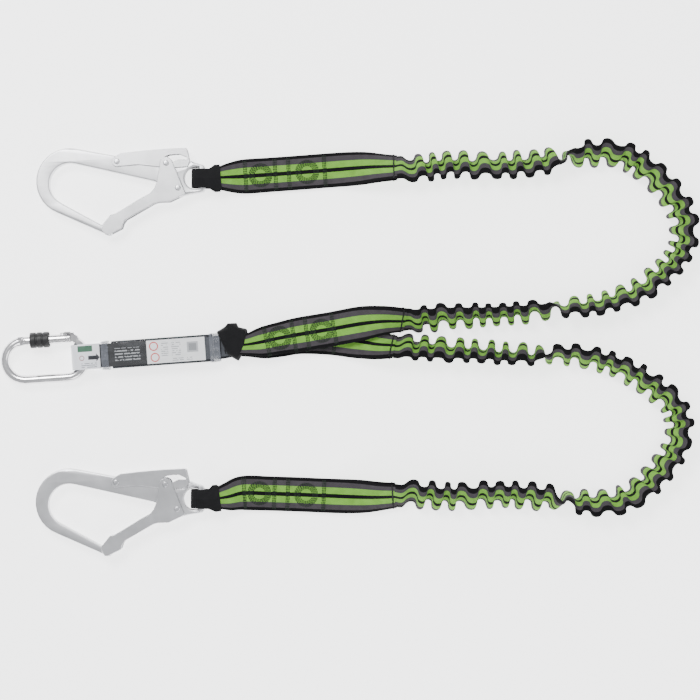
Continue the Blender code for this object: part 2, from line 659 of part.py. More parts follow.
def build_hook(leg):
    prefix = "hook_" + leg
    root = empty(prefix + "_swing_axis", HOOK_POINTS[leg])
    lever_span = HOOK_T / 2 + SHEET_GAP + LEVER_T
    gate_span = lever_span + SHEET_GAP + GATE_T
    hook_body(prefix, root)
    hook_lever(prefix, root)
    hook_gate(prefix, root)
    hook_rivet(prefix + "_gate_rivet", root, GATE_PIVOT, gate_span)
    hook_rivet(prefix + "_latch_pin", root, LATCH_PIN, gate_span)
    hook_rivet(prefix + "_lever_rivet", root, LEVER_PIVOT, lever_span)
    hook_spring(prefix + "_gate_spring", root, GATE_PIVOT)
    hook_spring(prefix + "_lever_spring", root, LEVER_PIVOT)


# ---------------------------------------------------------------- karabiner
KB_BORE_R = 0.0026


def build_karabiner():
    swing = empty("karabiner_swing_axis", KB_POINT, KB_TILT)
    root = empty("karabiner_frame", (-KB_AXIS_X, 0, 0), 0, swing)
    y = KB_HALF
    left = arc(-KB_STRAIGHT, 0, y, 101.7, 270, 12)
    right = arc(KB_STRAIGHT, 0, y, -90, 56, 10)
    path = [(px, py, 0) for px, py in left + [(0, -y)] + right]
    body = link("karabiner_body", rod_mesh(path, KB_ROD_R, 3), "zinc", root)
    half = KB_TANG / 2
    tang = arc(KB_HINGE_X, y, 0.0049, -90, 90, 8) + [(-0.0310, y + 0.0045), (-0.0330, y - 0.0060)]
    boolean(body, plate_mesh([tang], -half, half), "UNION")
    rim = y + KB_GATE_R + GAP
    nose = [(0.0345, rim), (0.0245, rim), (0.0245, rim + 0.0019), (0.0310, rim + 0.0019)]
    nose += [(0.0400, y + 0.0020), (0.0422, y - 0.0040), (0.0385, y - 0.0058), (0.0345, y - 0.0050)]
    boolean(body, plate_mesh([nose[::-1]], -0.0044, 0.0044), "UNION")
    lip = [(0.0195, rim), (0.0262, rim + 0.0005), (0.0262, rim + 0.0012), (0.0195, rim + 0.0012)]
    boolean(body, plate_mesh([lip], -0.0031, 0.0031), "UNION")
    tab = [(0.0357, rim + 0.0007), (0.0228, rim + 0.0007), (0.0228, y - 0.0006), (0.0251, y - 0.0006)]
    tab += [(0.0251, y + 0.0026), (0.0300, y + 0.0026), (0.0303, y - 0.0040), (0.0357, y - 0.0036)]
    boolean(body, plate_mesh([tab[::-1]], -half, half), "UNION")
    hinge_hole = plate_mesh([arc(KB_HINGE_X, y, 0.0016 + GAP, 0, 330, 11)], -0.02, 0.02)
    boolean(body, hinge_hole)

    gate_end = KB_LATCH_X + 0.0040
    reach = gate_end - KB_HINGE_X
    ball = KB_GATE_R - 0.0003
    profile = [(0.0, reach), (KB_GATE_R - 0.0008, reach), (KB_GATE_R, reach - 0.0008), (KB_GATE_R, 0.0)]
    profile += [(ball * math.cos(a), -ball * math.sin(a)) for a in (0.3, 0.6, 0.9, 1.2)]
    profile += [(0.0, -ball)]
    gate = turned("karabiner_gate", profile, "zinc", root, (KB_HINGE_X, y, 0), "X", 16)
    slot = half + GAP
    to_gate = gate_frame()
    boolean(gate, plate_mesh([[(-0.01, -0.01), (0.0062, -0.01), (0.0062, 0.01), (-0.01, 0.01)]], -slot, slot),
            matrix=to_gate)
    x0, x1 = 0.0215 - KB_HINGE_X, reach + 0.003
    boolean(gate, plate_mesh([[(x0, -0.01), (x1, -0.01), (x1, 0.01), (x0, 0.01)]], -slot, slot),
            matrix=to_gate)
    bore = rod_mesh([(0.0050, 0, 0), (0.0300, 0, 0)], KB_BORE_R, 3)
    boolean(gate, bore, matrix=to_gate)
    for at in (0.0, KB_LATCH_X - KB_HINGE_X):
        boolean(gate, plate_mesh([arc(at, 0, 0.0016 + GAP, 0, 330, 11)], -0.02, 0.02), matrix=to_gate)

    for name, at in (("karabiner_hinge_pin", KB_HINGE_X), ("karabiner_latch_pin", KB_LATCH_X)):
        pin = [(0.0, 0.0056), (0.0012, 0.0056), (0.0016, 0.0052)]
        pin += [(0.0016, -0.0052), (0.0012, -0.0056), (0.0, -0.0056)]
        turned(name, pin, "zinc", root, (at, y, 0), steps=12)
    plunger = [(0.0, 0.0050), (0.0022, 0.0050), (0.0022, 0.0), (0.0, 0.0)]
    turned("karabiner_plunger", plunger, "zinc", root, (KB_HINGE_X + 0.0056, y, 0), "X", 10)
    wire = rod_mesh(helix(0.0018, 6, 0.0160, 8, "x"), 0.0004, 0)
    coil = link("karabiner_gate_spring", wire, "spring", root)
    coil.location = (KB_HINGE_X + 0.0195, y, 0)

    bush_in = KB_GATE_R + GAP
    bush_out = bush_in + KB_BUSH_WALL
    length = KB_SLEEVE_L
    bush = ring_profile(bush_in, bush_out, 0.0008, length - 0.0060)
    turned("karabiner_sleeve_bush", bush, "zinc", root, (KB_SLEEVE_X, y, 0), "X", 16)
    r, groove, inside, mouth = KB_SLEEVE_R, KB_SLEEVE_R - 0.0010, bush_out + GAP, KB_GATE_R + 0.0025
    grip = [(mouth, length), (r - 0.0006, length), (r, length - 0.0008)]
    for band in (1, 2):
        at = length * (1 - band / 3)
        grip += [(r, at + 0.0012), (groove, at + 0.0006), (groove, at - 0.0006), (r, at - 0.0012)]
    grip += [(r, 0.0008), (r - 0.0006, 0.0), (inside, 0.0)]
    grip += [(inside, length - 0.0052), (mouth, length - 0.0052)]
    grip += [(mouth, length)]
    turned("karabiner_sleeve", grip, "black_plastic", root, (KB_SLEEVE_X, y, 0), "X", 18)


def gate_frame():
    """Turns a cutter drawn along X into the frame of a piece whose own axis Z lies along X."""
    return Matrix.Rotation(-math.pi / 2, 4, "Y")


# ---------------------------------------------------------------- absorber pack
def straight_band(length, width):
    return Band([(0, 0, 0, width, 0), (length * 0.33, 0, 0, width, 0),
                 (length * 0.66, 0, 0, width, 0), (length, 0, 0, width, 0)])


def box_mesh(x0, x1, y0, y1, z0, z1):
    return plate_mesh([[(x0, y0), (x1, y0), (x1, y1), (x0, y1)]], z0, z1)


def build_pack():
    root = empty("absorber_frame", KB_POINT, PACK_TILT)
    stack_x0 = PACK_X0 + 0.0120
    stack_x1 = PACK_X0 + PACK_L - 0.0080

    harness = straight_band(stack_x0 - GAP, HARNESS_W)
    height = loop_height(LOOP_IN_R, 0.004, 0.020, 0.0)
    path = folded_path(harness, harness.length, HARNESS_START, height, turn_steps=10, step=0.004)
    link("harness_loop", strap_mesh("loop", path, WEB_T), "grey_web", root)
    tag_height = loop_height(LOOP_IN_R, 0.004, 0.020, WEB_T / 2 + 2 * GAP + TAG_T / 2)
    tag = straight_band(0.0205, TAG_W)
    tag_path = folded_path(tag, tag.length, HARNESS_START, tag_height, turn_steps=10, step=0.004)
    link("harness_loop_tag", strap_mesh("tag", tag_path, TAG_T), "tag", root)
    tack = stitch_group("harness_loop_bar_tacks", harness, height,
                        [("bar", 0.0255, 0.014, 0.003), ("bar", 0.0305, 0.014, 0.003)], "black_web")
    tack.parent = root

    pitch = WEB_T + GAP
    turn_r = pitch / 2
    path = []
    for layer in range(TEAR_LAYERS):
        z = (layer - (TEAR_LAYERS - 1) / 2) * pitch
        ends = (stack_x0 + 0.003, stack_x1 - 0.003)
        here, there = ends if layer % 2 == 0 else ends[::-1]
        heading = 1 if there > here else -1
        if layer == 0:
            here = stack_x0
        if layer == TEAR_LAYERS - 1:
            there = stack_x1
        for x in (here, there):
            path.append((Vector((x, 0, z)), Vector((0, heading, 0)), Vector((0, 0, 1)), TEAR_W))
        if layer < TEAR_LAYERS - 1:
            for i in range(1, 5):
                a = -math.pi / 2 + math.pi * i / 5
                ahead = there + heading * turn_r * math.cos(a)
                centre = Vector((ahead, 0, z + turn_r + turn_r * math.sin(a)))
                out = Vector((heading * math.cos(a), 0, math.sin(a)))
                path.append((centre, Vector((0, heading, 0)), -out, TEAR_W))
    link("absorber_tear_webbing", fold_mesh(path, WEB_T), "grey_web", root)

    half_h = PACK_H / 2
    x0, x1 = PACK_X0, PACK_X0 + PACK_L
    section = rounded([(-PACK_W / 2, -half_h), (PACK_W / 2, -half_h), (PACK_W / 2, half_h),
                       (-PACK_W / 2, half_h)], 0.0036, 3)
    in_w, in_h = PACK_W / 2 - PACK_WALL, half_h - PACK_WALL
    hollow = rounded([(-in_w, -in_h), (in_w, -in_h), (in_w, in_h), (-in_w, in_h)],
                     0.0029, 3)
    film = plate_mesh([section, hollow], x0, x1)
    film.transform(Matrix(((0, 0, 1, 0), (1, 0, 0, 0), (0, 1, 0, 0), (0, 0, 0, 1))))
    link("absorber_cover", film, "clear_film", root)
    top = (TEAR_LAYERS - 1) / 2 * pitch + WEB_T / 2
    card = box_mesh(x0 + 0.0090, x0 + 0.1240, -0.0138, 0.0138, top + GAP, top + GAP + CARD_T)
    link("absorber_card", card, "card", root)

    tail = straight_band(0.0330, 0.0250)
    tail_height = loop_height(GAP, 0.004, 0.012, 0.0)
    tail_width = lambda s: 0.022 + 0.006 * min(s / 0.02, 1.0)
    tail_path = folded_path(tail, tail.length, 0.0, tail_height, tail_width, 6, 0.006)
    tail_mesh = strap_mesh("tail", tail_path, WEB_T)
    flip = Matrix.Translation((stack_x1 + GAP + tail.length, 0, 0)) @ Matrix.Rotation(math.pi, 4, "Z")
    tail_mesh.transform(flip)
    link("absorber_leg_loop", tail_mesh, "grey_web", root)
    tacks = stitch_group("absorber_leg_loop_bar_tacks", tail, tail_height,
                         [("bar", 0.0195, 0.010, 0.003), ("bar", 0.0250, 0.010, 0.003)], "black_web")
    tacks.data.transform(flip)
    tacks.parent = root
    build_junction()


def fold_mesh(path, thickness):
    """A strap through stations whose normal may reverse from layer to layer."""
    stations = []
    for i, (centre, _, _, width) in enumerate(path):
        before = path[max(i - 1, 0)][0]
        after = path[min(i + 1, len(path) - 1)][0]
        tangent = (after - before).normalized()
        stations.append((centre, Vector((0, 1, 0)), tangent.cross(Vector((0, 1, 0))), width))
    return strap_mesh("folds", stations, thickness)


def build_junction():
    """The black sleeve over the place where both legs are sewn to the absorber."""
    outline = [(0.0226, 0.0245), (0.0262, 0.0305), (0.0300, 0.0342), (0.0400, 0.0342), (0.0440, 0.0305)]
    outline += [(0.0505, 0.0280), (0.0540, 0.0080), (0.0430, -0.0100), (0.0290, -0.0030), (0.0226, 0.0100)]
    top = PACK_Z + 0.0105
    mesh = plate_mesh([rounded(outline, 0.0025, 2)], 0.0003, top, 0.0012, 1)
    sleeve = link("junction_sleeve", mesh, "black_web")
    hollow = [(0.0, -0.0130), (0.034, -0.0086), (0.070, -0.0086)]
    hollow += [(0.070, 0.0265), (0.046, 0.0215), (0.0, 0.0225)]
    boolean(sleeve, plate_mesh([hollow], 0.0009, top - 0.0013))


def build():
    for leg in ("a", "b"):
        build_outer_band(leg)
        build_inner_band(leg)
        build_stretch(leg)
        build_hook(leg)
    build_karabiner()
    build_pack()


clear_scene()
PARTS = make_collection("shock_absorbing_lanyard")
CUTTERS = make_collection("cutters")
build()
bpy.context.view_layer.update()
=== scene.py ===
"""Twin-leg shock absorbing lanyard: webbing, stitching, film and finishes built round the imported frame."""
import math
import random

import bmesh
import bpy
import numpy as np
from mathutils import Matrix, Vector, noise


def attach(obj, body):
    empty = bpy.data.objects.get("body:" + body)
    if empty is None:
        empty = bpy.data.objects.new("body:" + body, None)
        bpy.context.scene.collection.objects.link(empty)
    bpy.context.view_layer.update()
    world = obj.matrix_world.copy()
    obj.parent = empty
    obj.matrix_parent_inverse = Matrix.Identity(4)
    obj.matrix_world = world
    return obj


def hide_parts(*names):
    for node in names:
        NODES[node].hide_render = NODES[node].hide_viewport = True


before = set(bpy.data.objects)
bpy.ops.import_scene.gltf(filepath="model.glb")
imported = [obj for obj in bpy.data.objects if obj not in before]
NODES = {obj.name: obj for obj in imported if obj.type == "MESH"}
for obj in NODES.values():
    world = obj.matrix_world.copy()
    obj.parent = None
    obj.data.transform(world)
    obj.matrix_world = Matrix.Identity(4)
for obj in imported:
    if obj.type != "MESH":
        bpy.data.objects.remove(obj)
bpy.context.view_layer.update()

# Sizes in metres, as in the part's source.
GAP = 0.0003
WEB_T = 0.0024             # webbing thickness
WEB_W = 0.041              # leg webbing width
LOOP_W = 0.021             # the same webbing folded narrow through the hook's eye
COVER_T = 0.0012           # black cover round the hook loop
COVER_W = 0.0226
COVER_END_W = 0.031        # its width where it has opened out
COVER_L = 0.0215           # how far it reaches from the hook's eye
COVER_FLARE = 0.009        # where it starts to open out
HOOK_T = 0.012
LOOP_SLACK = 0.0008
LOOP_START = -0.0020
HOOK_LOOP = (0.012, 0.036)     # how far the hook loop stays open, and the length over which it closes
HOOK_Z = 0.0117
SLEEVE_Z = 0.0168          # height of a gathered stretch's middle line
RUFFLE_W = 0.0365          # width of the gathered web
RUFFLE_T = 0.0048          # its mean thickness, two layers with the elastic between
FLOOR_GAP = 0.0008
SWING_POINT = Vector((-0.1430, -0.0060, 0.0128))    # karabiner's swing axis in the harness loop
PACK_TILT = math.radians(4.1)
PACK_X0 = 0.0222           # film's left end from the swing axis
PACK_L = 0.1415
PACK_W = 0.0362
PACK_H = 0.0225
TEAR_W = 0.0325
TEAR_LAYERS = 7
CARD_T = 0.0006
TAG_T = 0.0006
TAG_W = 0.030
HARNESS_IN_R = 0.0089      # harness loop's inner radius
HARNESS_W = 0.028
HARNESS_START = -0.0013
HARNESS_LOOP = (0.004, 0.020)  # how far the harness loop stays open, and the length over which it closes
SHARP_ANGLE = math.radians(50)

# Each sewn band: x, y, z, width, roll in degrees, from its folded end to its cross stitch.
OUTER_BANDS = {
    "a": [(-0.0015, 0.2064, HOOK_Z, LOOP_W, 0), (0.010, 0.2064, HOOK_Z, LOOP_W, 0),
          (0.030, 0.2080, 0.0088, 0.034, 0), (0.048, 0.2094, 0.0052, WEB_W, 0),
          (0.079, 0.2116, 0.0042, WEB_W, 0), (0.115, 0.2142, 0.0042, WEB_W, 0),
          (0.155, 0.2172, 0.0050, WEB_W, 0), (0.187, 0.2186, 0.0110, WEB_W, -14),
          (0.210, 0.2188, 0.0158, 0.040, -30), (0.2306, 0.2189, 0.0166, 0.038, -38)],
    "b": [(-0.0024, -0.1746, HOOK_Z, LOOP_W, 0), (0.010, -0.1746, HOOK_Z, LOOP_W, 0),
          (0.030, -0.1720, 0.0088, 0.034, 0), (0.048, -0.1683, 0.0052, WEB_W, 0),
          (0.079, -0.1690, 0.0042, WEB_W, 0), (0.115, -0.1702, 0.0042, WEB_W, 0),
          (0.155, -0.1718, 0.0050, WEB_W, 0), (0.187, -0.1720, 0.0110, WEB_W, 14),
          (0.210, -0.1713, 0.0158, 0.040, 30), (0.2293, -0.1702, 0.0166, 0.038, 38)],
}
INNER_BANDS = {
    "a": [(0.0400, 0.0080, 0.0188, 0.022, 0), (0.0530, 0.0090, 0.0186, 0.026, 0),
          (0.0700, 0.0120, 0.0162, 0.035, 0), (0.0910, 0.0166, 0.0136, 0.038, 0),
          (0.1150, 0.0210, 0.0128, WEB_W, 0), (0.1510, 0.0270, 0.0140, WEB_W, 0),
          (0.1860, 0.0335, 0.0200, WEB_W, 8), (0.2120, 0.0372, 0.0220, 0.038, 28),
          (0.2400, 0.0382, 0.0170, 0.036, 45)],
    "b": [(0.0400, 0.0060, 0.0042, 0.022, 0), (0.0530, 0.0070, 0.0042, 0.026, 0),
          (0.0700, 0.0095, 0.0042, 0.035, 0), (0.0910, 0.0130, 0.0042, 0.038, 0),
          (0.1150, 0.0180, 0.0042, WEB_W, 0), (0.1500, 0.0170, 0.0046, WEB_W, 0),
          (0.1820, 0.0130, 0.0068, WEB_W, -7), (0.2050, 0.0082, 0.0126, 0.038, -28),
          (0.2281, 0.0060, 0.0170, 0.036, -45)],
}
# Centreline points of each gathered stretch, x and y, from the hook end round to the absorber end.
ROUTES = {
    "a": [(0.2322, 0.2189), (0.2579, 0.2192), (0.2936, 0.2235), (0.3293, 0.2228), (0.3650, 0.2231),
          (0.4007, 0.2261), (0.4364, 0.2320), (0.4721, 0.2360), (0.4959, 0.2332), (0.5161, 0.2245),
          (0.5363, 0.2080), (0.5540, 0.1888), (0.5660, 0.1690), (0.5712, 0.1475), (0.5692, 0.1270),
          (0.5578, 0.1071), (0.5387, 0.0892), (0.5161, 0.0730), (0.4840, 0.0610), (0.4530, 0.0550),
          (0.4161, 0.0515), (0.3828, 0.0470), (0.3471, 0.0440), (0.3114, 0.0425), (0.2817, 0.0410),
          (0.2580, 0.0392), (0.2420, 0.0382)],
    "b": [(0.2312, -0.1702), (0.2579, -0.1698), (0.2936, -0.1725), (0.3293, -0.1710),
          (0.3650, -0.1702), (0.4007, -0.1726), (0.4364, -0.1761), (0.4721, -0.1785),
          (0.4959, -0.1750), (0.5161, -0.1652), (0.5336, -0.1500), (0.5500, -0.1309),
          (0.5620, -0.1083), (0.5650, -0.0845), (0.5578, -0.0630), (0.5387, -0.0450),
          (0.5180, -0.0310), (0.4899, -0.0165), (0.4602, -0.0075), (0.4364, -0.0040),
          (0.4007, -0.0036), (0.3650, -0.0020), (0.3293, 0.0010), (0.2936, 0.0030),
          (0.2638, 0.0052), (0.2460, 0.0058), (0.2306, 0.0060)],
}
SIDE = {"a": 1, "b": -1}   # leg b is leg a mirrored


# ---------------------------------------------------------------- curves and lofts
def smooth(points, per_span=12):
    """A Catmull-Rom curve through the points, any number of columns."""
    p = np.array(points, float)
    p = np.vstack([2 * p[0] - p[1], p, 2 * p[-1] - p[-2]])
    out = []
    for i in range(1, len(p) - 2):
        for t in np.linspace(0, 1, per_span, endpoint=False):
            a, b, c, d = p[i - 1], p[i], p[i + 1], p[i + 2]
            out.append(0.5 * (2 * b + (c - a) * t + (2 * a - 5 * b + 4 * c - d) * t ** 2
                              + (3 * b - a - 3 * c + d) * t ** 3))
    out.append(p[-2])
    return np.array(out)


def ease(x):
    """0 to 1, with level ends."""
    x = min(max(x, 0.0), 1.0)
    return x * x * (3 - 2 * x)


def along(points):
    """Distance along a line of points."""
    steps = np.linalg.norm(np.diff(points, axis=0), axis=1)
    return np.concatenate([[0], np.cumsum(steps)])


def piece(name, verts, faces, material, weave=None):
    """A mesh on the lanyard's body. weave holds (distance along, distance across, share across) per point."""
    mesh = bpy.data.meshes.new(name)
    mesh.from_pydata([tuple(v) for v in verts], [], faces)
    mesh.update()
    obj = bpy.data.objects.new(name, mesh)
    bpy.context.scene.collection.objects.link(obj)
    mesh.materials.append(material)
    mesh.shade_smooth()
    mesh.set_sharp_from_angle(angle=SHARP_ANGLE)
    if weave is not None:
        attribute = mesh.attributes.new("weave", "FLOAT_VECTOR", "POINT")
        attribute.data.foreach_set("vector", np.array(weave, np.float32).ravel())
    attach(obj, "lanyard")
    return obj


def loft_faces(rings, around, caps=True):
    """Faces of a tube whose rings each have the same number of points, in one winding."""
    faces = []
    for i in range(rings - 1):
        for k in range(around):
            a, b = i * around + k, i * around + (k + 1) % around
            faces.append((a, b, b + around, a + around))
    if caps:
        last = (rings - 1) * around
        faces.append(tuple(reversed(range(around))))
        faces.append(tuple(range(last, last + around)))
    return faces


def facing_out(obj):
    """Turns a closed mesh's faces outwards."""
    bm = bmesh.new()
    bm.from_mesh(obj.data)
    bmesh.ops.recalc_face_normals(bm, faces=bm.faces)
    bm.to_mesh(obj.data)
    bm.free()
    return obj


class Band:
    """The middle line of a strap, with its width and roll, read at a distance along it."""

    def __init__(self, stations):
        self.dense = smooth(stations)
        self.s = along(self.dense[:, :3])
        self.length = float(self.s[-1])

    def frame(self, s):
        """Place, sideways direction, normal and width at s."""
        inside = min(max(s, 0.0), self.length)
        at = lambda d, c: float(np.interp(d, self.s, self.dense[:, c]))
        ahead, behind = min(inside + 0.002, self.length), max(inside - 0.002, 0.0)
        tangent = Vector([at(ahead, c) - at(behind, c) for c in range(3)]).normalized()
        place = Vector([at(inside, c) for c in range(3)]) + tangent * (s - inside)
        across = Vector((0, 0, 1)).cross(tangent).normalized()
        up = tangent.cross(across)
        roll = math.radians(at(inside, 4))
        side = across * math.cos(roll) + up * math.sin(roll)
        normal = up * math.cos(roll) - across * math.sin(roll)
        return place, side, normal, at(inside, 3)

    def place(self, s, v, h):
        """The point v across and h above the band at s."""
        place, side, normal, _ = self.frame(s)
        return place + side * v + normal * h


def loop_height(inner, straight, taper, layer):
    """Distance of a folded strap's middle from the band: open at the loop, closed further on."""
    closed = (WEB_T + GAP) / 2

    def height(s):
        share = ease((s - straight) / taper)
        return (inner + WEB_T / 2) * (1 - share) + closed * share + layer
    return height


def folded_path(band, reach, start, height, width_of=None, turn_steps=12, step=0.002):
    """Stations that come in on top, turn round the fold at distance `start` and go back below."""
    count = max(2, int((reach - start) / step))
    stops = [reach + (start - reach) * i / count for i in range(count + 1)]
    path = []
    for s in stops:
        place, side, normal, width = band.frame(s)
        path.append((place + normal * height(s), side, normal, width_of(s) if width_of else width))
    centre, side, normal, width = band.frame(start)
    forward = side.cross(normal)
    for i in range(1, turn_steps):
        a = math.pi * i / turn_steps
        out = normal * math.cos(a) - forward * math.sin(a)
        path.append((centre + out * height(start), side, out, width_of(start) if width_of else width))
    for s in reversed(stops):
        place, side, normal, width = band.frame(s)
        path.append((place - normal * height(s), side, -normal, width_of(s) if width_of else width))
    return path


ACROSS = [math.sin(math.pi / 2 * (2 * k / 16 - 1)) for k in range(17)]   # -1 to 1, closer at the edges


def section(power):
    """Half width and half height round a flat strap's section; a higher power gives squarer edges."""
    top = [(v, math.sqrt(max(0.0, 1 - abs(v) ** power))) for v in ACROSS]
    return top + [(v, -h) for v, h in top[-2:0:-1]]


def strap(name, path, thickness, material, full_width=WEB_W, ripple=0.00025):
    """A woven strap: a soft-edged flat section swept along (centre, side, normal, width) stations."""
    ring = section(9)
    verts, weave = [], []
    s = 0.0
    for i, (centre, side, normal, width) in enumerate(path):
        if i:
            s += (centre - path[i - 1][0]).length
        for v, h in ring:
            uneven = ripple * noise.noise(Vector((s * 60, v * 1.5, 3.1)))
            lift = h * thickness / 2 + uneven
            verts.append(centre + side * (v * width / 2) + normal * lift)
            weave.append((s, v * full_width / 2, 0.5 + v / 2))
    return facing_out(piece(name, verts, loft_faces(len(path), len(ring)), material, weave))


# ---------------------------------------------------------------- materials
class Nodes:
    """A short way to write a node material."""

    def __init__(self, name):
        self.material = bpy.data.materials.new(name)
        self.material.use_nodes = True
        self.tree = self.material.node_tree
        self.tree.nodes.clear()
        self.shader = self.add("ShaderNodeBsdfPrincipled")
        out = self.add("ShaderNodeOutputMaterial")
        self.tree.links.new(self.shader.outputs[0], out.inputs["Surface"])

    def add(self, kind, **settings):
        node = self.tree.nodes.new(kind)
        for key, value in settings.items():
            setattr(node, key, value)
        return node

    def put(self, socket, value):
        """A number or colour is set on the socket; another node's output is linked to it."""
        if isinstance(value, bpy.types.NodeSocket):
            self.tree.links.new(value, socket)
        else:
            socket.default_value = value

    def math(self, operation, a, b=0.0, c=0.0):
        node = self.add("ShaderNodeMath", operation=operation)
        for socket, value in zip(node.inputs, (a, b, c)):
            self.put(socket, value)
        return node.outputs[0]

    def noise(self, scale, detail=2.0, vector=None, stretch=None):
        node = self.add("ShaderNodeTexNoise")
        node.inputs["Scale"].default_value = scale
        node.inputs["Detail"].default_value = detail
        if vector is None:
            vector = self.add("ShaderNodeTexCoord").outputs["Object"]
        if stretch:
            mapping = self.add("ShaderNodeMapping")
            mapping.inputs["Scale"].default_value = stretch
            self.put(mapping.inputs["Vector"], vector)
            vector = mapping.outputs[0]
        self.put(node.inputs["Vector"], vector)
        return node.outputs["Fac"]

    def ramp(self, value, stops, interpolation="LINEAR"):
        """stops: (place, colour) pairs; a colour may be one grey number."""
        node = self.add("ShaderNodeValToRGB")
        node.color_ramp.interpolation = interpolation
        elements = node.color_ramp.elements
        while len(elements) < len(stops):
            elements.new(0.5)
        for element, (place, colour) in zip(elements, stops):
            element.position = place
            colour = (colour,) * 3 if isinstance(colour, (int, float)) else tuple(colour)
            element.color = colour[:3] + (1.0,)
        self.put(node.inputs[0], value)
        return node.outputs[0]

    def mix(self, share, a, b, blend="MIX"):
        node = self.add("ShaderNodeMix", data_type="RGBA", blend_type=blend)
        self.put(node.inputs[0], share)
        for socket, value in ((node.inputs[6], a), (node.inputs[7], b)):
            if isinstance(value, tuple):
                value = value[:3] + (1.0,)
            self.put(socket, value)
        return node.outputs[2]

    def bump(self, height, distance, strength=1.0, normal=None):
        node = self.add("ShaderNodeBump")
        node.inputs["Distance"].default_value = distance
        node.inputs["Strength"].default_value = strength
        self.put(node.inputs["Height"], height)
        if normal is not None:
            self.put(node.inputs["Normal"], normal)
        return node.outputs[0]

    def finish(self, **inputs):
        names = {"color": "Base Color", "roughness": "Roughness", "metallic": "Metallic", "normal": "Normal",
                 "sheen": "Sheen Weight", "coat": "Coat Weight", "coat_roughness": "Coat Roughness",
                 "alpha": "Alpha", "specular": "Specular IOR Level"}
        for key, value in inputs.items():
            if isinstance(value, tuple):
                value = value[:3] + (1.0,)
            self.put(self.shader.inputs[names[key]], value)
        return self.material


GREEN = (0.190, 0.445, 0.058)
GREY = (0.062, 0.056, 0.062)
BLACK = (0.0045, 0.0043, 0.0052)
STRIPES = ((0.0, BLACK), (0.10, GREY), (0.255, GREEN), (0.445, BLACK), (0.555, GREEN), (0.745, GREY),
           (0.90, BLACK))
RIB = 0.0016               # pitch of the webbing's ribs
YARN = 0.0011              # pitch of its warp yarns


def woven(name, stripes, rib=RIB, yarn=YARN, relief=0.00022, rough=0.78, ragged=0.006):
    """Narrow-loom webbing: lengthwise stripes, staggered ribs, ragged stripe edges and a little fuzz, with
    painted shade in the rib valleys and a faint painted highlight on the rib crests.
    """
    n = Nodes(name)
    split = n.add("ShaderNodeSeparateXYZ")
    n.put(split.inputs[0], n.add("ShaderNodeAttribute", attribute_name="weave").outputs["Vector"])
    s, y, share = split.outputs
    column = n.math("FLOOR", n.math("DIVIDE", y, yarn))
    phase = n.math("ADD", n.math("MULTIPLY", s, 2 * math.pi / rib), n.math("MULTIPLY", column, math.pi))
    rib_wave = n.math("MULTIPLY_ADD", n.math("SINE", phase), 0.5, 0.5)
    yarn_wave = n.math("ABSOLUTE", n.math("SINE", n.math("MULTIPLY", y, math.pi / yarn)))
    height = n.math("MULTIPLY", n.math("POWER", rib_wave, 0.6), n.math("MULTIPLY_ADD", yarn_wave, 0.5, 0.5))
    shifted = n.math("ADD", share, n.math("MULTIPLY_ADD", rib_wave, ragged, -ragged / 2))
    colour = n.ramp(shifted, stripes, "CONSTANT")
    vector = n.add("ShaderNodeCombineXYZ")
    n.put(vector.inputs[0], s)
    n.put(vector.inputs[1], y)
    cloudy = n.noise(90, 3, vector.outputs[0])
    fuzz = n.noise(2600, 2, vector.outputs[0])
    # Painted shade and highlight: the colour follows the relief height, darkened to about half in the weave's
    # valleys and lifted a little on its crests.
    colour = n.mix(1.0, colour, n.ramp(height, ((0.0, 0.52), (0.55, 1.0), (1.0, 1.10))), "MULTIPLY")
    colour = n.mix(1.0, colour, n.ramp(cloudy, ((0.3, 0.86), (0.7, 1.1))), "MULTIPLY")
    normal = n.bump(fuzz, 0.00006, 0.5, n.bump(height, relief))
    return n.finish(color=colour, roughness=n.ramp(fuzz, ((0.2, rough - 0.08), (0.8, rough + 0.1))),
                    normal=normal, sheen=0.04, specular=0.10)


def thread_material(name, colour):
    """Bonded sewing thread with a fine twist."""
    n = Nodes(name)
    fine = n.noise(1800, 2)
    dark, light = tuple(c * 0.6 for c in colour), tuple(min(1, c * 1.5) for c in colour)
    return n.finish(color=n.mix(fine, dark, light), roughness=n.ramp(fine, ((0.3, 0.42), (0.7, 0.62))),
                    normal=n.bump(fine, 0.00012), specular=0.25)


def metal(name, colour, roughness, grain, streak, scratch=0.25):
    """Plated or polished steel: fine directional grain, faint scratches and uneven sheen."""
    n = Nodes(name)
    fine = n.noise(grain, 3, stretch=streak)
    cloud = n.noise(45, 3)
    lines = n.noise(700, 1, stretch=(1.0, 0.06, 1.0))
    scratched = n.ramp(lines, ((0.62, 0.0), (0.70, scratch)))
    shade = n.ramp(cloud, ((0.3, 0.90), (0.7, 1.04)))
    rough = n.math("MULTIPLY_ADD", fine, 0.10, roughness - 0.05)
    rough = n.math("ADD", rough, n.math("MULTIPLY", cloud, 0.05))
    rough = n.math("ADD", rough, n.math("MULTIPLY", scratched, 0.15))
    normal = n.bump(fine, 0.00003, 0.6, n.bump(cloud, 0.00025, 0.25))
    return n.finish(color=n.mix(1.0, colour, shade, "MULTIPLY"), metallic=1.0, roughness=rough, normal=normal)


def moulded_plastic(name, colour):
    """Black nylon with a fine spark-eroded grain and lighter rubbed patches."""
    n = Nodes(name)
    grain = n.noise(1500, 2)
    rubbed = n.ramp(n.noise(160, 4), ((0.52, 0.0), (0.75, 0.35)))
    colour = n.mix(rubbed, colour, tuple(c * 3.0 for c in colour))
    return n.finish(color=colour, roughness=n.ramp(grain, ((0.3, 0.42), (0.7, 0.60))),
                    normal=n.bump(grain, 0.00008, 0.7), specular=0.45)


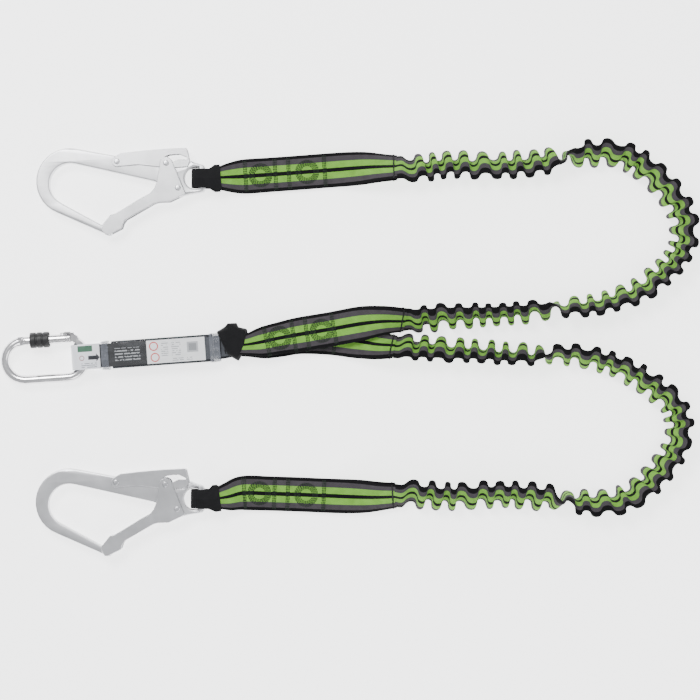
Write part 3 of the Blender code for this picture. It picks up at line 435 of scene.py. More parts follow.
class Print(Nodes):
    """Flat printed shapes, placed by the distance along and across the piece."""

    def __init__(self, name):
        super().__init__(name)
        split = self.add("ShaderNodeSeparateXYZ")
        self.put(split.inputs[0], self.add("ShaderNodeAttribute", attribute_name="weave").outputs["Vector"])
        self.x, self.y = split.outputs[0], split.outputs[1]

    def box(self, cx, cy, half_x, half_y):
        inside = [self.math("LESS_THAN", self.math("ABSOLUTE", self.math("SUBTRACT", value, at)), half)
                  for value, at, half in ((self.x, cx, half_x), (self.y, cy, half_y))]
        return self.math("MULTIPLY", *inside)

    def ring(self, cx, cy, inner, outer):
        dx, dy = self.math("SUBTRACT", self.x, cx), self.math("SUBTRACT", self.y, cy)
        r = self.math("SQRT", self.math("ADD", self.math("MULTIPLY", dx, dx), self.math("MULTIPLY", dy, dy)))
        return self.math("MULTIPLY", self.math("GREATER_THAN", r, inner), self.math("LESS_THAN", r, outer))

    def wedge(self, tip, base, cy, half):
        """A triangle whose point is at tip and whose base, at `base`, is 2 * half across."""
        run = self.math("DIVIDE", self.math("SUBTRACT", self.x, tip), base - tip)
        off = self.math("ABSOLUTE", self.math("SUBTRACT", self.y, cy))
        inside = self.math("LESS_THAN", off, self.math("MULTIPLY", run, half))
        return self.math("MULTIPLY", inside, self.math("LESS_THAN", run, 1.0))

    def rules(self, cx, cy, half_x, half_y, pitch, ink=0.42):
        """A block of ruled grey lines that stands in for small print."""
        wave = self.math("FRACT", self.math("DIVIDE", self.math("SUBTRACT", self.y, cy - half_y), pitch))
        ragged = self.noise(420, 0)
        line = self.math("LESS_THAN", wave, ink)
        line = self.math("MULTIPLY", line, self.math("GREATER_THAN", ragged, 0.40))
        return self.math("MULTIPLY", self.box(cx, cy, half_x, half_y), line)


def tag_material():
    """White plasticised label: a green panel, a black arrow and grey rules."""
    n = Print("label")
    sheet = n.mix(n.noise(60, 3), (0.80, 0.82, 0.88), (0.87, 0.88, 0.92))
    top = n.math("LESS_THAN", n.x, 0.030)
    colour = sheet
    for shape, ink in ((n.box(0.0180, 0.0095, 0.0088, 0.0036), (0.045, 0.125, 0.075)),
                       (n.box(0.0095, -0.0015, 0.0055, 0.0024), (0.012, 0.014, 0.020)),
                       (n.wedge(0.0000, 0.0046, -0.0015, 0.0050), (0.012, 0.014, 0.020)),
                       (n.rules(0.0140, -0.0102, 0.0095, 0.0028, 0.0022), (0.20, 0.21, 0.24)),
                       (n.ring(0.0225, -0.0015, 0.0022, 0.0030), (0.30, 0.10, 0.10))):
        colour = n.mix(n.math("MULTIPLY", shape, top), colour, ink)
    fine = n.noise(900, 2)
    return n.finish(color=colour, roughness=n.ramp(fine, ((0.3, 0.30), (0.7, 0.42))),
                    normal=n.bump(n.noise(110, 2), 0.0002, 0.4), coat=0.3, coat_roughness=0.15)


def card_material():
    """Printed card under the film: a black end, a white end, plain rules, two red rings, a grey panel."""
    n = Print("card")
    start = PACK_X0 + 0.0090
    split_at = start + 0.0458
    colour = n.mix(n.math("GREATER_THAN", n.x, split_at), (0.006, 0.006, 0.007), (0.86, 0.87, 0.88))
    red, grey = (0.62, 0.035, 0.030), (0.34, 0.35, 0.37)
    shapes = [(n.ring(split_at + 0.0085, 0.0066, 0.0041, 0.0054), red),
              (n.ring(split_at + 0.0095, -0.0066, 0.0041, 0.0054), red),
              (n.rules(start + 0.0229, 0.0, 0.0150, 0.0075, 0.0036), grey),
              (n.rules(split_at + 0.0215, 0.0030, 0.0042, 0.0085, 0.0024), grey),
              (n.rules(split_at + 0.0350, 0.0030, 0.0055, 0.0085, 0.0024), grey),
              (n.rules(split_at + 0.0420, -0.0100, 0.0120, 0.0020, 0.0022), grey),
              (n.box(split_at + 0.0545, 0.0030, 0.0066, 0.0062), (0.42, 0.43, 0.45)),
              (n.box(split_at + 0.0545, 0.0030, 0.0045, 0.0042), (0.24, 0.25, 0.26))]
    for shape, ink in shapes:
        colour = n.mix(shape, colour, ink)
    fibre = n.noise(1200, 2)
    return n.finish(color=colour, roughness=n.ramp(fibre, ((0.3, 0.34), (0.7, 0.48))),
                    normal=n.bump(fibre, 0.00003, 0.4))


def film_material(name, alpha, tint, haze):
    """Clear shrink film, a little milky where it is creased."""
    n = Nodes(name)
    creases = n.noise(160, 3, stretch=(0.35, 1.0, 1.0))
    milky = n.ramp(creases, ((0.45, alpha), (0.75, min(1.0, alpha + haze))))
    paler = tuple(min(1.0, c * 1.15) for c in tint)
    return n.finish(color=n.mix(creases, tint, paler), alpha=milky,
                    roughness=n.ramp(creases, ((0.3, 0.06), (0.8, 0.22))),
                    normal=n.bump(creases, 0.0006, 0.6), specular=0.6, coat=0.5, coat_roughness=0.05)


MATERIALS = {
    "web": woven("striped_webbing", STRIPES),
    "grey_web": woven("grey_webbing", ((0.0, (0.012, 0.012, 0.013)), (0.12, (0.052, 0.054, 0.060)),
                                       (0.88, (0.012, 0.012, 0.013)))),
    "black_web": woven("black_webbing", ((0.0, (0.010, 0.010, 0.011)), (0.5, (0.012, 0.012, 0.013))),
                       rib=0.0012, yarn=0.0010, relief=0.00015),
    "thread": thread_material("green_thread", (0.008, 0.016, 0.009)),
    "black_thread": thread_material("black_thread", (0.008, 0.008, 0.009)),
    "tear_web": woven("tear_webbing", ((0.0, (0.020, 0.021, 0.024)), (0.10, (0.075, 0.080, 0.090)),
                                       (0.90, (0.020, 0.021, 0.024)))),
    "forged": metal("forged_silver", (0.66, 0.66, 0.675), 0.36, 900, (1.0, 1.0, 1.0)),
    "stamped": metal("stamped_silver", (0.72, 0.72, 0.735), 0.30, 1100, (0.12, 1.0, 1.0)),
    "rivet": metal("rivet_zinc", (0.60, 0.60, 0.62), 0.30, 1300, (1.0, 1.0, 1.0)),
    "polished": metal("polished_steel", (0.78, 0.77, 0.78), 0.16, 1400, (0.08, 1.0, 1.0)),
    "spring": metal("spring_steel", (0.50, 0.50, 0.52), 0.28, 1500, (1.0, 1.0, 1.0)),
    "plastic": moulded_plastic("black_nylon", (0.010, 0.010, 0.011)),
    "tag": tag_material(),
    "card": card_material(),
    "film": film_material("shrink_film", 0.04, (0.30, 0.32, 0.35), 0.07),
    "film_band": film_material("shrink_film_band", 0.50, (0.17, 0.18, 0.21), 0.25),
}


# ---------------------------------------------------------------- gathered stretches
RUFFLE_PITCH = 0.0208      # one gather along the cord
RUFFLE_REACH = 0.0058      # how far a crest stands from the middle
RUFFLE_TURN = math.radians(96)    # how far the web curls round the elastic across its width
RUFFLE_STEP = 0.0011
RUFFLE_SLACK = 1.45        # webbing gathered into each unit of the elastic's length
RUFFLE_SEED = {"a": 7, "b": 11}
RUFFLE_TUCK = 0.0050       # how far its ends run on into the sewn bands
# Share of the stretch, roll in degrees, share of the waves that the back layer follows.
RUFFLE_ROLL = [(0.0, -38, 1.0), (0.05, -40, 1.0), (0.235, -42, 0.95), (0.262, -90, 1.0),
               (0.292, -130, 1.0), (0.40, -134, 1.0), (0.58, -130, 1.0), (0.70, -122, 0.95),
               (0.75, -114, 0.9), (0.785, -66, 0.75), (0.84, -60, 0.6), (0.97, -48, 0.5), (1.0, -45, 0.8)]


def gather_phases(length, rng):
    """The wave's phase at each distance along, with gathers of uneven length, and each gather's height."""
    marks, reach = [0.0], [1.0]
    while marks[-1] < length:
        marks.append(marks[-1] + RUFFLE_PITCH / 2 * rng.uniform(0.70, 1.32))
        reach.append(rng.uniform(0.72, 1.14))
    return np.array(marks), np.array(reach)


def build_ruffle(leg):
    """One gathered stretch: webbing waved and curled over its elastic, turning over as it goes round."""
    side_sign = SIDE[leg]
    rng = random.Random(RUFFLE_SEED[leg])
    line = smooth(ROUTES[leg])
    s_line = along(line)
    length = float(s_line[-1])
    count = int(length / RUFFLE_STEP)
    marks, reach = gather_phases(length, rng)
    ring = section(5)
    shares = np.array([r[0] for r in RUFFLE_ROLL])
    rolls = np.array([r[1] for r in RUFFLE_ROLL], float)
    backs = np.array([r[2] for r in RUFFLE_ROLL], float)
    rings, weave = [], []

    def on_line(d):
        return Vector((float(np.interp(d, s_line, line[:, 0])), float(np.interp(d, s_line, line[:, 1])), 0))

    for i in range(count + 1):
        s = length * i / count
        tangent = (on_line(min(s + 0.004, length)) - on_line(max(s - 0.004, 0))).normalized()
        into_band = RUFFLE_TUCK * (ease(1 - (length - s) / 0.02) - ease(1 - s / 0.02))
        place = on_line(s) + tangent * into_band
        outward = Vector((0, 0, 1)).cross(tangent) * side_sign
        share = s / length
        j = max(0, int(np.searchsorted(shares, share, side="right")) - 1)
        j = min(j, len(shares) - 2)
        turn = ease((share - shares[j]) / (shares[j + 1] - shares[j]))
        roll = math.radians(rolls[j] + (rolls[j + 1] - rolls[j]) * turn)
        back = backs[j] + (backs[j + 1] - backs[j]) * turn
        across = outward * math.cos(roll) + Vector((0, 0, 1)) * math.sin(roll)
        normal = Vector((0, 0, 1)) * math.cos(roll) - outward * math.sin(roll)
        push = (normal * 0.55 - outward * (math.sin(roll) * 1.15)).normalized()
        ends = ease(min(s, length - s) / 0.020)
        curl = max(0.02, RUFFLE_TURN * ease(min(s, length - s) / 0.045))
        facing = math.cos(roll) / 0.35
        curl = math.copysign(max(0.02, curl * min(1.0, abs(facing))), facing)
        radius = RUFFLE_W / curl
        middle = (1 + math.cos(curl / 2)) / 2
        k = min(max(0, int(np.searchsorted(marks, s, side="right")) - 1), len(marks) - 2)
        part = (s - marks[k]) / (marks[k + 1] - marks[k])
        points = []
        for v, h in ring:
            angle = math.pi * (k + part) + 0.45 * v * ends
            crest = math.sin(angle)
            height = float(np.interp(k + part, range(len(reach)), reach)) * RUFFLE_REACH * ends
            layer = 1.0 if h > 0 else (back if h < 0 else (1 + back) / 2)
            depth = -across.z * v * abs(math.sin(roll)) * ends
            wave = push * (crest * height * layer * (1 + 0.38 * depth))
            lean = tangent * (-0.0012 * math.sin(2 * angle) * ends)
            a = v * curl / 2
            out = across * math.sin(a) + normal * math.cos(a)
            base = across * (radius * math.sin(a)) + normal * (radius * (math.cos(a) - middle))
            fat = RUFFLE_T / 2 * (1 + 0.25 * crest * (1 - abs(v)))
            fine = 0.0004 * noise.noise(Vector((s * 140, v * 2.2, 5.0 + h)))
            points.append(place + base + wave + lean + out * (h * fat + fine))
        rings.append(points)
        weave += [(s * RUFFLE_SLACK, v * WEB_W / 2, 0.5 + v * (1 + 0.8 * abs(v) * (1 - abs(v))) / 2)
                  for v, _ in ring]
    settle(rings, length, leg)
    verts = [p for points in rings for p in points]
    obj = facing_out(piece("leg_%s_gathered_webbing" % leg, verts, loft_faces(len(rings), len(ring)),
                           MATERIALS["web"], weave=weave))
    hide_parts("leg_%s_gathered_sleeve" % leg, "leg_%s_elastic_core" % leg)
    path = [(float(x), float(y), SLEEVE_Z) for x, y in line[::3]] + [(*map(float, line[-1]), SLEEVE_Z)]
    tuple(path[0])
    return obj


def settle(rings, length, leg):
    """Lays each ring so that the gathers round it rest on the floor, level with the bands at the ends."""
    first, last = OUTER_BANDS[leg][-1][2], INNER_BANDS[leg][-1][2]
    low = np.array([min(p.z for p in points) for points in rings])
    window = int(0.030 / RUFFLE_STEP)
    lift = np.array([FLOOR_GAP - low[max(0, i - window):i + window + 1].min() for i in range(len(low))])
    kernel = np.ones(window) / window
    lift = np.convolve(np.pad(lift, window // 2, mode="edge"), kernel, mode="same")[window // 2:][:len(low)]
    for i, points in enumerate(rings):
        s = length * i / (len(rings) - 1)
        start, end = 1 - ease(s / 0.05), 1 - ease((length - s) / 0.05)
        height = lift[i] * (1 - start - end) + first * start + last * end
        for p in points:
            p.z += height
            p.z = max(p.z, FLOOR_GAP)


for leg in "ab":
    build_ruffle(leg)


# ---------------------------------------------------------------- sewn bands
THREAD_W = 0.00095
TACK_THREAD_W = 0.0017
PACK_THREAD_W = 0.0011
STITCH_L = 0.0026          # one stitch
STITCH_GAP = 0.00025       # from one stitch to the next
STITCH_SIDES = 6
# Share of the stitch, share of the thread's width, rise.
STITCH_RINGS = ((0.0, 0.35, 0.0), (0.2, 1.0, 0.7), (0.5, 1.1, 1.0), (0.8, 1.0, 0.7), (1.0, 0.35, 0.0))


def thread_run(points_normals, verts, faces, width):
    """Raised stitches along a line of (point, normal) pairs, added to verts and faces."""
    pts = [p for p, _ in points_normals]
    dist = along(np.array([tuple(p) for p in pts]))
    total = float(dist[-1])
    count = max(1, int(round(total / (STITCH_L + STITCH_GAP))))
    pitch = total / count

    def at(d):
        return Vector([float(np.interp(d, dist, [p[c] for p in pts])) for c in range(3)])

    for i in range(count):
        a, b = at(i * pitch + STITCH_GAP / 2), at((i + 1) * pitch - STITCH_GAP / 2)
        j = min(int(np.searchsorted(dist, (i + 0.5) * pitch)), len(pts) - 1)
        normal = points_normals[j][1]
        ahead = (b - a).normalized()
        side = normal.cross(ahead)
        first = len(verts)
        for t, r, lift in STITCH_RINGS:
            centre = a.lerp(b, t)
            for q in range(STITCH_SIDES):
                angle = 2 * math.pi * q / STITCH_SIDES
                verts.append(centre + side * (math.cos(angle) * width / 2 * r)
                             + normal * (math.sin(angle) * width * 0.34 * r + width * 0.22 * lift))
        faces += [tuple(first + k for k in face) for face in loft_faces(len(STITCH_RINGS), STITCH_SIDES)]


OUTER_MARKS = (0.052, 0.070, 0.088, 0.104, 0.126, 0.147)   # bar, ring, bar, bar, ring, bar
INNER_MARKS = (0.036, 0.052, 0.069, 0.085, 0.103, 0.118)
RING_RADII = (0.0078, 0.0093, 0.0108, 0.0123, 0.0137)
BAR_HALF = 0.0185
TACK_FROM_END = 0.004      # the black cross tack, back from the band's end
OUTER_TACK_HALF = 0.0185
INNER_TACK_HALF = 0.0175


def mark_lines(places):
    """The stitch lines of a sewn splice, flat: lists of (along, across)."""
    bar1, ring1, bar2, bar3, ring2, bar4 = places
    lines = []
    for s in (ring1, ring2):
        for r in RING_RADII:
            lines.append([(s + r * math.cos(a), r * math.sin(a)) for a in np.linspace(0, 2 * math.pi, 49)])
    for s in (bar1, bar2, bar3, bar4):
        for step in (-0.0017, 0.0, 0.0017):
            lines.append([(s + step + 0.0004 * math.sin(v * 900), v)
                          for v in np.linspace(-BAR_HALF, BAR_HALF, 25)])
    return lines


def stitching(name, band, height, lines, material, replaced, width=THREAD_W):
    """The same stitch lines on both faces of a band."""
    verts, faces = [], []
    for face in (1, -1):
        for line in lines:
            run = []
            for s, v in line:
                h = (height(s) + WEB_T / 2 + 0.0001) * face
                _, _, normal, _ = band.frame(s)
                run.append((band.place(s, v, h), normal * face))
            thread_run(run, verts, faces, width)
    obj = facing_out(piece(name, verts, faces, material))
    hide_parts(replaced)
    return obj


def cross_tack(s, half):
    """A dense zigzag across the band."""
    steps = 33
    return [[(s + (0.0010 if i % 2 else -0.0010), -half + 2 * half * i / (steps - 1)) for i in range(steps)]]


def build_outer(leg):
    """The sewn band at the hook: webbing folded through its eye, black cover, stitches and cross tack."""
    band = Band(OUTER_BANDS[leg])
    inner = HOOK_T / 2 + LOOP_SLACK
    height = loop_height(inner, *HOOK_LOOP, 0.0)
    web = strap("leg_%s_hook_end_webbing" % leg, folded_path(band, band.length, LOOP_START, height),
                WEB_T, MATERIALS["web"])
    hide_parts("leg_%s_hook_end" % leg)
    cover_height = loop_height(inner, *HOOK_LOOP, WEB_T / 2 + GAP + COVER_T / 2)

    def wide(s):
        return COVER_W if s < COVER_FLARE else min(COVER_END_W, COVER_W + (s - COVER_FLARE) * 1.4)
    cover = strap("leg_%s_hook_loop_cover" % leg, folded_path(band, COVER_L, LOOP_START, cover_height, wide),
                  COVER_T, MATERIALS["black_web"], full_width=COVER_END_W)
    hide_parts("leg_%s_loop_cover" % leg)
    sewn = stitching("leg_%s_hook_end_stitches" % leg, band, height, mark_lines(OUTER_MARKS),
                     MATERIALS["thread"], "leg_%s_hook_end_stitching" % leg)
    tack_line = cross_tack(band.length - TACK_FROM_END, OUTER_TACK_HALF)
    tack = stitching("leg_%s_hook_end_cross_tack" % leg, band, height, tack_line,
                     MATERIALS["black_thread"], "leg_%s_hook_end_tack" % leg, TACK_THREAD_W)


def build_inner(leg):
    """The sewn band at the absorber, with its stitches and cross tack."""
    band = Band(INNER_BANDS[leg])
    height = loop_height(GAP, 0.0, 0.010, 0.0)
    path = folded_path(band, band.length, 0.0, height, turn_steps=6)
    web = strap("leg_%s_absorber_end_webbing" % leg, path, WEB_T, MATERIALS["web"])
    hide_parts("leg_%s_absorber_end" % leg)
    sewn = stitching("leg_%s_absorber_end_stitches" % leg, band, height, mark_lines(INNER_MARKS),
                     MATERIALS["thread"], "leg_%s_absorber_end_stitching" % leg)
    tack_line = cross_tack(band.length - TACK_FROM_END, INNER_TACK_HALF)
    tack = stitching("leg_%s_absorber_end_cross_tack" % leg, band, height, tack_line,
                     MATERIALS["black_thread"], "leg_%s_absorber_end_tack" % leg, TACK_THREAD_W)


for leg in "ab":
    build_outer(leg)
    build_inner(leg)


# ---------------------------------------------------------------- absorber pack
AHEAD = Vector((math.cos(PACK_TILT), math.sin(PACK_TILT), 0))
ASIDE = Vector((-math.sin(PACK_TILT), math.cos(PACK_TILT), 0))
UP = Vector((0, 0, 1))
STACK_X0 = PACK_X0 + 0.0120
STACK_X1 = PACK_X0 + PACK_L - 0.0080
LEG_LOOP_L = 0.0330        # the absorber's tail past the folded webbing


def pack_point(x, y, z):
    """A place given along, across and above the pack's own axis."""
    return SWING_POINT + AHEAD * x + ASIDE * y + UP * z


def pack_band(x0, x1, width):
    """A straight band on the pack's axis."""
    return Band([(*pack_point(x0 + (x1 - x0) * i / 3, 0, 0), width, 0) for i in range(4)])


def printed_strip(name, x0, x1, half, z, thickness, material):
    """A thin card lying along the pack, its face slightly uneven."""
    columns, rows = 60, 12
    verts, weave, faces = [], [], []
    for level in (1, -1):
        for i in range(columns + 1):
            x = x0 + (x1 - x0) * i / columns
            for j in range(rows + 1):
                v = 2 * j / rows - 1
                wave = 0.0002 * noise.noise(Vector((x * 60, v * 1.3, 2.0)))
                verts.append(pack_point(x, v * half, z + level * thickness / 2 + wave))
                weave.append((x, v * half, (v + 1) / 2))
    size = (columns + 1) * (rows + 1)
    for level in (0, 1):
        for i in range(columns):
            for j in range(rows):
                a = level * size + i * (rows + 1) + j
                quad = (a, a + rows + 1, a + rows + 2, a + 1)
                faces.append(quad if level == 0 else quad[::-1])
    rim = [i * (rows + 1) for i in range(columns + 1)]
    rim += [columns * (rows + 1) + j for j in range(1, rows + 1)]
    rim += [i * (rows + 1) + rows for i in range(columns - 1, -1, -1)]
    rim += list(range(rows - 1, 0, -1))
    for a, b in zip(rim, rim[1:] + rim[:1]):
        faces.append((a, b, b + size, a + size))
    return facing_out(piece(name, verts, faces, material, weave=weave))


def build_harness_loop():
    """The grey loop that holds the karabiner, and the label folded over it."""
    band = pack_band(0.0, STACK_X0 - GAP, HARNESS_W)
    height = loop_height(HARNESS_IN_R, *HARNESS_LOOP, 0.0)
    web = strap("harness_loop_webbing", folded_path(band, band.length, HARNESS_START, height),
                WEB_T, MATERIALS["grey_web"], full_width=HARNESS_W)
    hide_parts("harness_loop")
    tag_band = pack_band(0.0, 0.0205, TAG_W)
    tag_height = loop_height(HARNESS_IN_R, *HARNESS_LOOP, WEB_T / 2 + 2 * GAP + TAG_T / 2)
    tag_path = folded_path(tag_band, tag_band.length, HARNESS_START, tag_height, step=0.001)
    tag = strap("harness_loop_label", tag_path, TAG_T, MATERIALS["tag"], full_width=TAG_W)
    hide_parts("harness_loop_tag")
    lines = [line for s in (0.0250, 0.0310) for line in cross_tack(s, 0.0125)]
    tack = stitching("harness_loop_cross_tacks", band, height, lines, MATERIALS["black_thread"],
                     "harness_loop_bar_tacks", PACK_THREAD_W)


def build_tear_webbing():
    """The folded tear webbing: one strap laid back and forth in seven layers."""
    pitch = WEB_T + GAP
    centres = []
    for layer in range(TEAR_LAYERS):
        z = (layer - (TEAR_LAYERS - 1) / 2) * pitch
        ends = (STACK_X0 + 0.003, STACK_X1 - 0.003)
        here, there = ends if layer % 2 == 0 else ends[::-1]
        heading = 1 if there > here else -1
        here = STACK_X0 if layer == 0 else here
        there = STACK_X1 if layer == TEAR_LAYERS - 1 else there
        centres += [(here + (there - here) * i / 24, z) for i in range(25)]
        if layer < TEAR_LAYERS - 1:
            for i in range(1, 8):
                a = -math.pi / 2 + math.pi * i / 8
                centres.append((there + heading * pitch / 2 * math.cos(a),
                                z + pitch / 2 * (1 + math.sin(a))))
    points = [pack_point(x, 0, z) for x, z in centres]
    path = []
    for i, point in enumerate(points):
        tangent = (points[min(i + 1, len(points) - 1)] - points[max(i - 1, 0)]).normalized()
        path.append((point, ASIDE, tangent.cross(ASIDE), TEAR_W))
    web = strap("absorber_tear_layers", path, WEB_T * 0.96, MATERIALS["tear_web"], full_width=TEAR_W,
                ripple=0.00004)
    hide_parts("absorber_tear_webbing")


def film_halves(x):
    """The film's half width and half height at x, drawn in towards both ends."""
    ends = min(x - PACK_X0, PACK_X0 + PACK_L - x)
    wide = PACK_W / 2 * (0.955 + 0.045 * ease(ends / 0.010))
    tall = PACK_H / 2 * (0.60 + 0.40 * ease(ends / 0.013))
    return wide, tall


def squarer(c, s):
    """Pushes a circle's point out to a rectangle with rounded corners."""
    return (abs(c) ** 7 + abs(s) ** 7) ** (-1 / 7)


def build_film():
    """Clear shrink film: a rounded tube drawn in at both ends, with the creases that shrinking leaves."""
    around, rings = 72, 96
    verts = []
    for i in range(rings + 1):
        x = PACK_X0 + PACK_L * i / rings
        ends = min(x - PACK_X0, PACK_X0 + PACK_L - x)
        wide, tall = film_halves(x)
        for k in range(around):
            a = 2 * math.pi * k / around
            c, s = math.cos(a), math.sin(a)
            out = squarer(c, s)
            crease = 0.00045 * noise.noise(Vector((x * 120, c * 2.2, s * 2.2)))
            crease += 0.0004 * math.sin(a * 9 + x * 40) * (1 - ease(ends / 0.012))
            verts.append(pack_point(x, c * (wide * out + crease) - 0.0002 * c,
                                    s * (tall * out + crease) - 0.0002 * s))
    film = piece("absorber_shrink_film", verts, loft_faces(rings + 1, around, caps=False), MATERIALS["film"])
    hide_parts("absorber_cover")
    for x0, width in ((PACK_X0, 0.0090), (PACK_X0 + PACK_L - 0.0120, 0.0120)):
        verts = []
        for i in range(9):
            x = x0 + width * i / 8
            wide, tall = (half - 0.0006 for half in film_halves(x))
            for k in range(around):
                c, s = math.cos(2 * math.pi * k / around), math.sin(2 * math.pi * k / around)
                verts.append(pack_point(x, c * wide * squarer(c, s), s * tall * squarer(c, s)))
        name = "absorber_film_band_%s" % ("left" if x0 == PACK_X0 else "right")
        piece(name, verts, loft_faces(9, around, caps=False), MATERIALS["film_band"])


def build_card():
    """The printed card that lies on the folded webbing, under the film."""
    top = (TEAR_LAYERS - 1) / 2 * (WEB_T + GAP) + WEB_T / 2
    card = printed_strip("absorber_printed_card", PACK_X0 + 0.0090, PACK_X0 + 0.1240, 0.0138,
                         top + GAP + CARD_T / 2, CARD_T * 0.8, MATERIALS["card"])
    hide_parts("absorber_card")


def build_leg_loop():
    """The absorber's own tail, folded round the legs inside the junction sleeve."""
    end = STACK_X1 + GAP + LEG_LOOP_L
    widths = [0.022 + 0.006 * min(LEG_LOOP_L * i / 3 / 0.02, 1.0) for i in range(4)]
    band = Band([(*pack_point(end - LEG_LOOP_L * i / 3, 0, 0), width, 0) for i, width in enumerate(widths)])
    height = loop_height(GAP, 0.004, 0.012, 0.0)
    web = strap("absorber_tail_webbing", folded_path(band, band.length, 0.0, height, turn_steps=6),
                WEB_T, MATERIALS["tear_web"], full_width=0.028)
    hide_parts("absorber_leg_loop")
    lines = [line for s in (0.0195, 0.0250) for line in cross_tack(s, 0.0085)]
    tack = stitching("absorber_tail_cross_tacks", band, height, lines, MATERIALS["black_thread"],
                     "absorber_leg_loop_bar_tacks", PACK_THREAD_W)


JUNCTION_OUTLINE = [(0.0152, 0.0240), (0.0255, 0.0303), (0.0292, 0.0345), (0.0395, 0.0350), (0.0418, 0.0303),
                    (0.0520, 0.0276), (0.0540, 0.0190), (0.0478, -0.0010), (0.0420, -0.0112),
                    (0.0290, -0.0036), (0.0214, 0.0125)]


def build_junction():
    """The black fabric sleeve where both legs are sewn to the absorber, puckered at its seams."""
    edge = []
    for (ax, ay), (bx, by) in zip(JUNCTION_OUTLINE, JUNCTION_OUTLINE[1:] + JUNCTION_OUTLINE[:1]):
        edge += [Vector((ax + (bx - ax) * t / 12, ay + (by - ay) * t / 12, 0)) for t in range(12)]
    for _ in range(2):
        edge = [(edge[i - 1] + edge[i] * 2 + edge[(i + 1) % len(edge)]) / 4 for i in range(len(edge))]
    centre = sum(edge, Vector()) / len(edge)
    low, high = 0.0004, 0.0230
    middle, half = (low + high) / 2, (high - low) / 2
    verts, weave = [], []
    count, levels = len(edge), 22
    for i in range(levels + 1):
        a = math.pi * (i / levels - 0.5)
        share = max(0.0, math.cos(a)) ** 0.30 * 0.985 + 0.015
        rise = math.copysign(abs(math.sin(a)) ** 0.62, a)
        for k, p in enumerate(edge):
            turn = (p - centre).normalized()
            pucker = 0.0006 * math.sin(k * 2 * math.pi * 19 / count) * (1 - share) ** 0.5 * share
            crumple = 0.0011 * noise.noise(Vector((p.x * 90 * share, p.y * 90 * share, rise * 1.5)))
            flat = centre + (p - centre) * share + turn * (pucker - 0.0004 + crumple * 0.5)
            z = middle + half * rise * (0.93 + 0.07 * share) + crumple * (1 if abs(rise) < 0.97 else 0.5)
            verts.append(Vector((flat.x, flat.y, min(max(z, low), high))))
            weave.append((flat.x, flat.y, 0.5))
    obj = facing_out(piece("junction_fabric_sleeve", verts, loft_faces(levels + 1, count),
                           MATERIALS["black_web"], weave))
    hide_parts("junction_sleeve")


build_harness_loop()
build_tear_webbing()
build_card()
build_film()
build_leg_loop()
build_junction()


# ---------------------------------------------------------------- forged and stamped metal
def dress(node, material, edge=0.0, sharp=38):
    """Gives a carried-over solid its finish, and eases its edges where it shows."""
    obj = NODES[node]
    obj.data.materials.clear()
    obj.data.materials.append(material)
    obj.data.shade_smooth()
    obj.modifiers.new("weld", "WELD").merge_threshold = 0.00001
    if edge:
        mod = obj.modifiers.new("edges", "BEVEL")
        mod.width = edge
        mod.segments = 2
        mod.limit_method = "ANGLE"
        mod.angle_limit = math.radians(sharp)
    split = obj.modifiers.new("split", "EDGE_SPLIT")
    split.split_angle = math.radians(max(sharp, 40))
    obj.modifiers.new("flat_faces", "WEIGHTED_NORMAL").keep_sharp = True


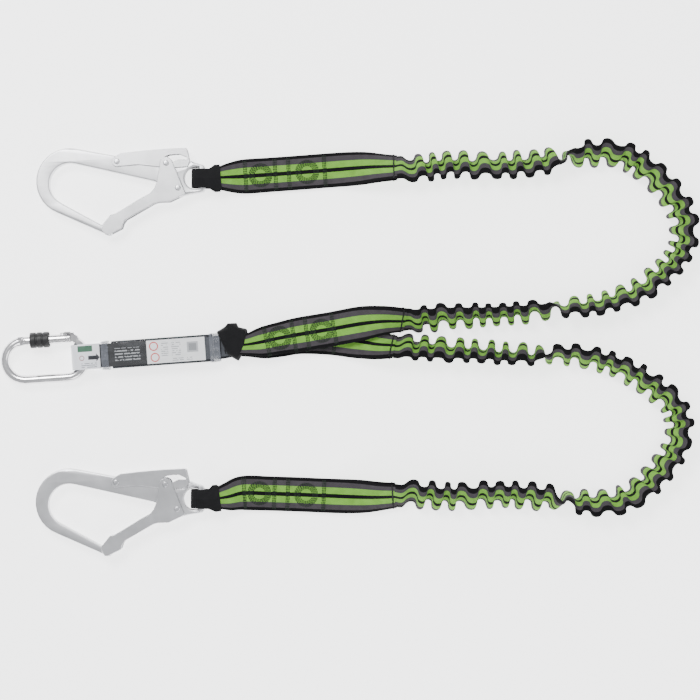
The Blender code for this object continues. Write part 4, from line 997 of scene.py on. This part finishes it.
for leg in "ab":
    hook = "hook_%s_" % leg
    dress(hook + "body", MATERIALS["forged"], 0.0005, 25)
    dress(hook + "gate", MATERIALS["stamped"], 0.00035)
    dress(hook + "lever", MATERIALS["stamped"], 0.00035)
    for rivet in ("gate_rivet", "lever_rivet", "latch_pin"):
        dress(hook + rivet, MATERIALS["rivet"], 0.0003, 50)
    for spring in ("gate_spring", "lever_spring"):
        dress(hook + spring, MATERIALS["spring"])
for node in ("body", "gate", "hinge_pin", "latch_pin", "sleeve_bush", "plunger"):
    dress("karabiner_" + node, MATERIALS["polished"], 0.0002 if node in ("gate", "sleeve_bush") else 0.0, 50)
dress("karabiner_gate_spring", MATERIALS["spring"])
dress("karabiner_sleeve", MATERIALS["plastic"], 0.0, 30)


# ---------------------------------------------------------------- floor, light and camera
VIEW_POINT = Vector((0.1746, 0.0024, 0.0128))    # below the camera, at the lanyard's mid height
VIEW_WIDTH = 0.833         # width seen at that height
LENS = 100.0


def build_stage():
    """Pale floor, even surroundings and three soft lamps."""
    floor_material = Nodes("floor")
    grain = floor_material.noise(3.0)
    floor_material.finish(color=floor_material.mix(grain, (0.92, 0.92, 0.92), (0.95, 0.95, 0.95)),
                          roughness=0.9, specular=0.1)
    floor_material.shader.inputs["Emission Color"].default_value = (1.0, 1.0, 1.0, 1.0)
    floor_material.shader.inputs["Emission Strength"].default_value = 2.4
    bpy.ops.mesh.primitive_plane_add(size=12, location=(0.17, 0, 0))
    floor = bpy.context.object
    floor.name = "floor"
    floor.data.materials.append(floor_material.material)
    world = bpy.data.worlds.new("studio")
    world.use_nodes = True
    background = world.node_tree.nodes["Background"]
    background.inputs["Color"].default_value = (0.95, 0.97, 1.0, 1.0)
    background.inputs["Strength"].default_value = 0.70
    bpy.context.scene.world = world
    for name, place, size, energy in (("key", (-0.5, 0.9, 1.6), 0.8, 34), ("fill", (1.2, -0.5, 1.4), 1.2, 10),
                                      ("edge", (0.2, -1.4, 0.9), 0.8, 8)):
        light = bpy.data.lights.new(name, "AREA")
        light.shape = "DISK"
        light.size = size
        light.energy = energy
        lamp = bpy.data.objects.new(name, light)
        lamp.location = place
        lamp.rotation_euler = (Vector((0.15, 0, 0)) - Vector(place)).to_track_quat("-Z", "Y").to_euler()
        bpy.context.scene.collection.objects.link(lamp)


def build_camera():
    """A long lens looking straight down."""
    data = bpy.data.cameras.new("camera")
    data.lens = LENS
    data.sensor_width = 36.0
    data.clip_start, data.clip_end = 0.05, 20
    camera = bpy.data.objects.new("camera", data)
    camera.location = VIEW_POINT + Vector((0, 0, VIEW_WIDTH * LENS / data.sensor_width))
    bpy.context.scene.collection.objects.link(camera)
    bpy.context.scene.camera = camera


build_stage()
build_camera()
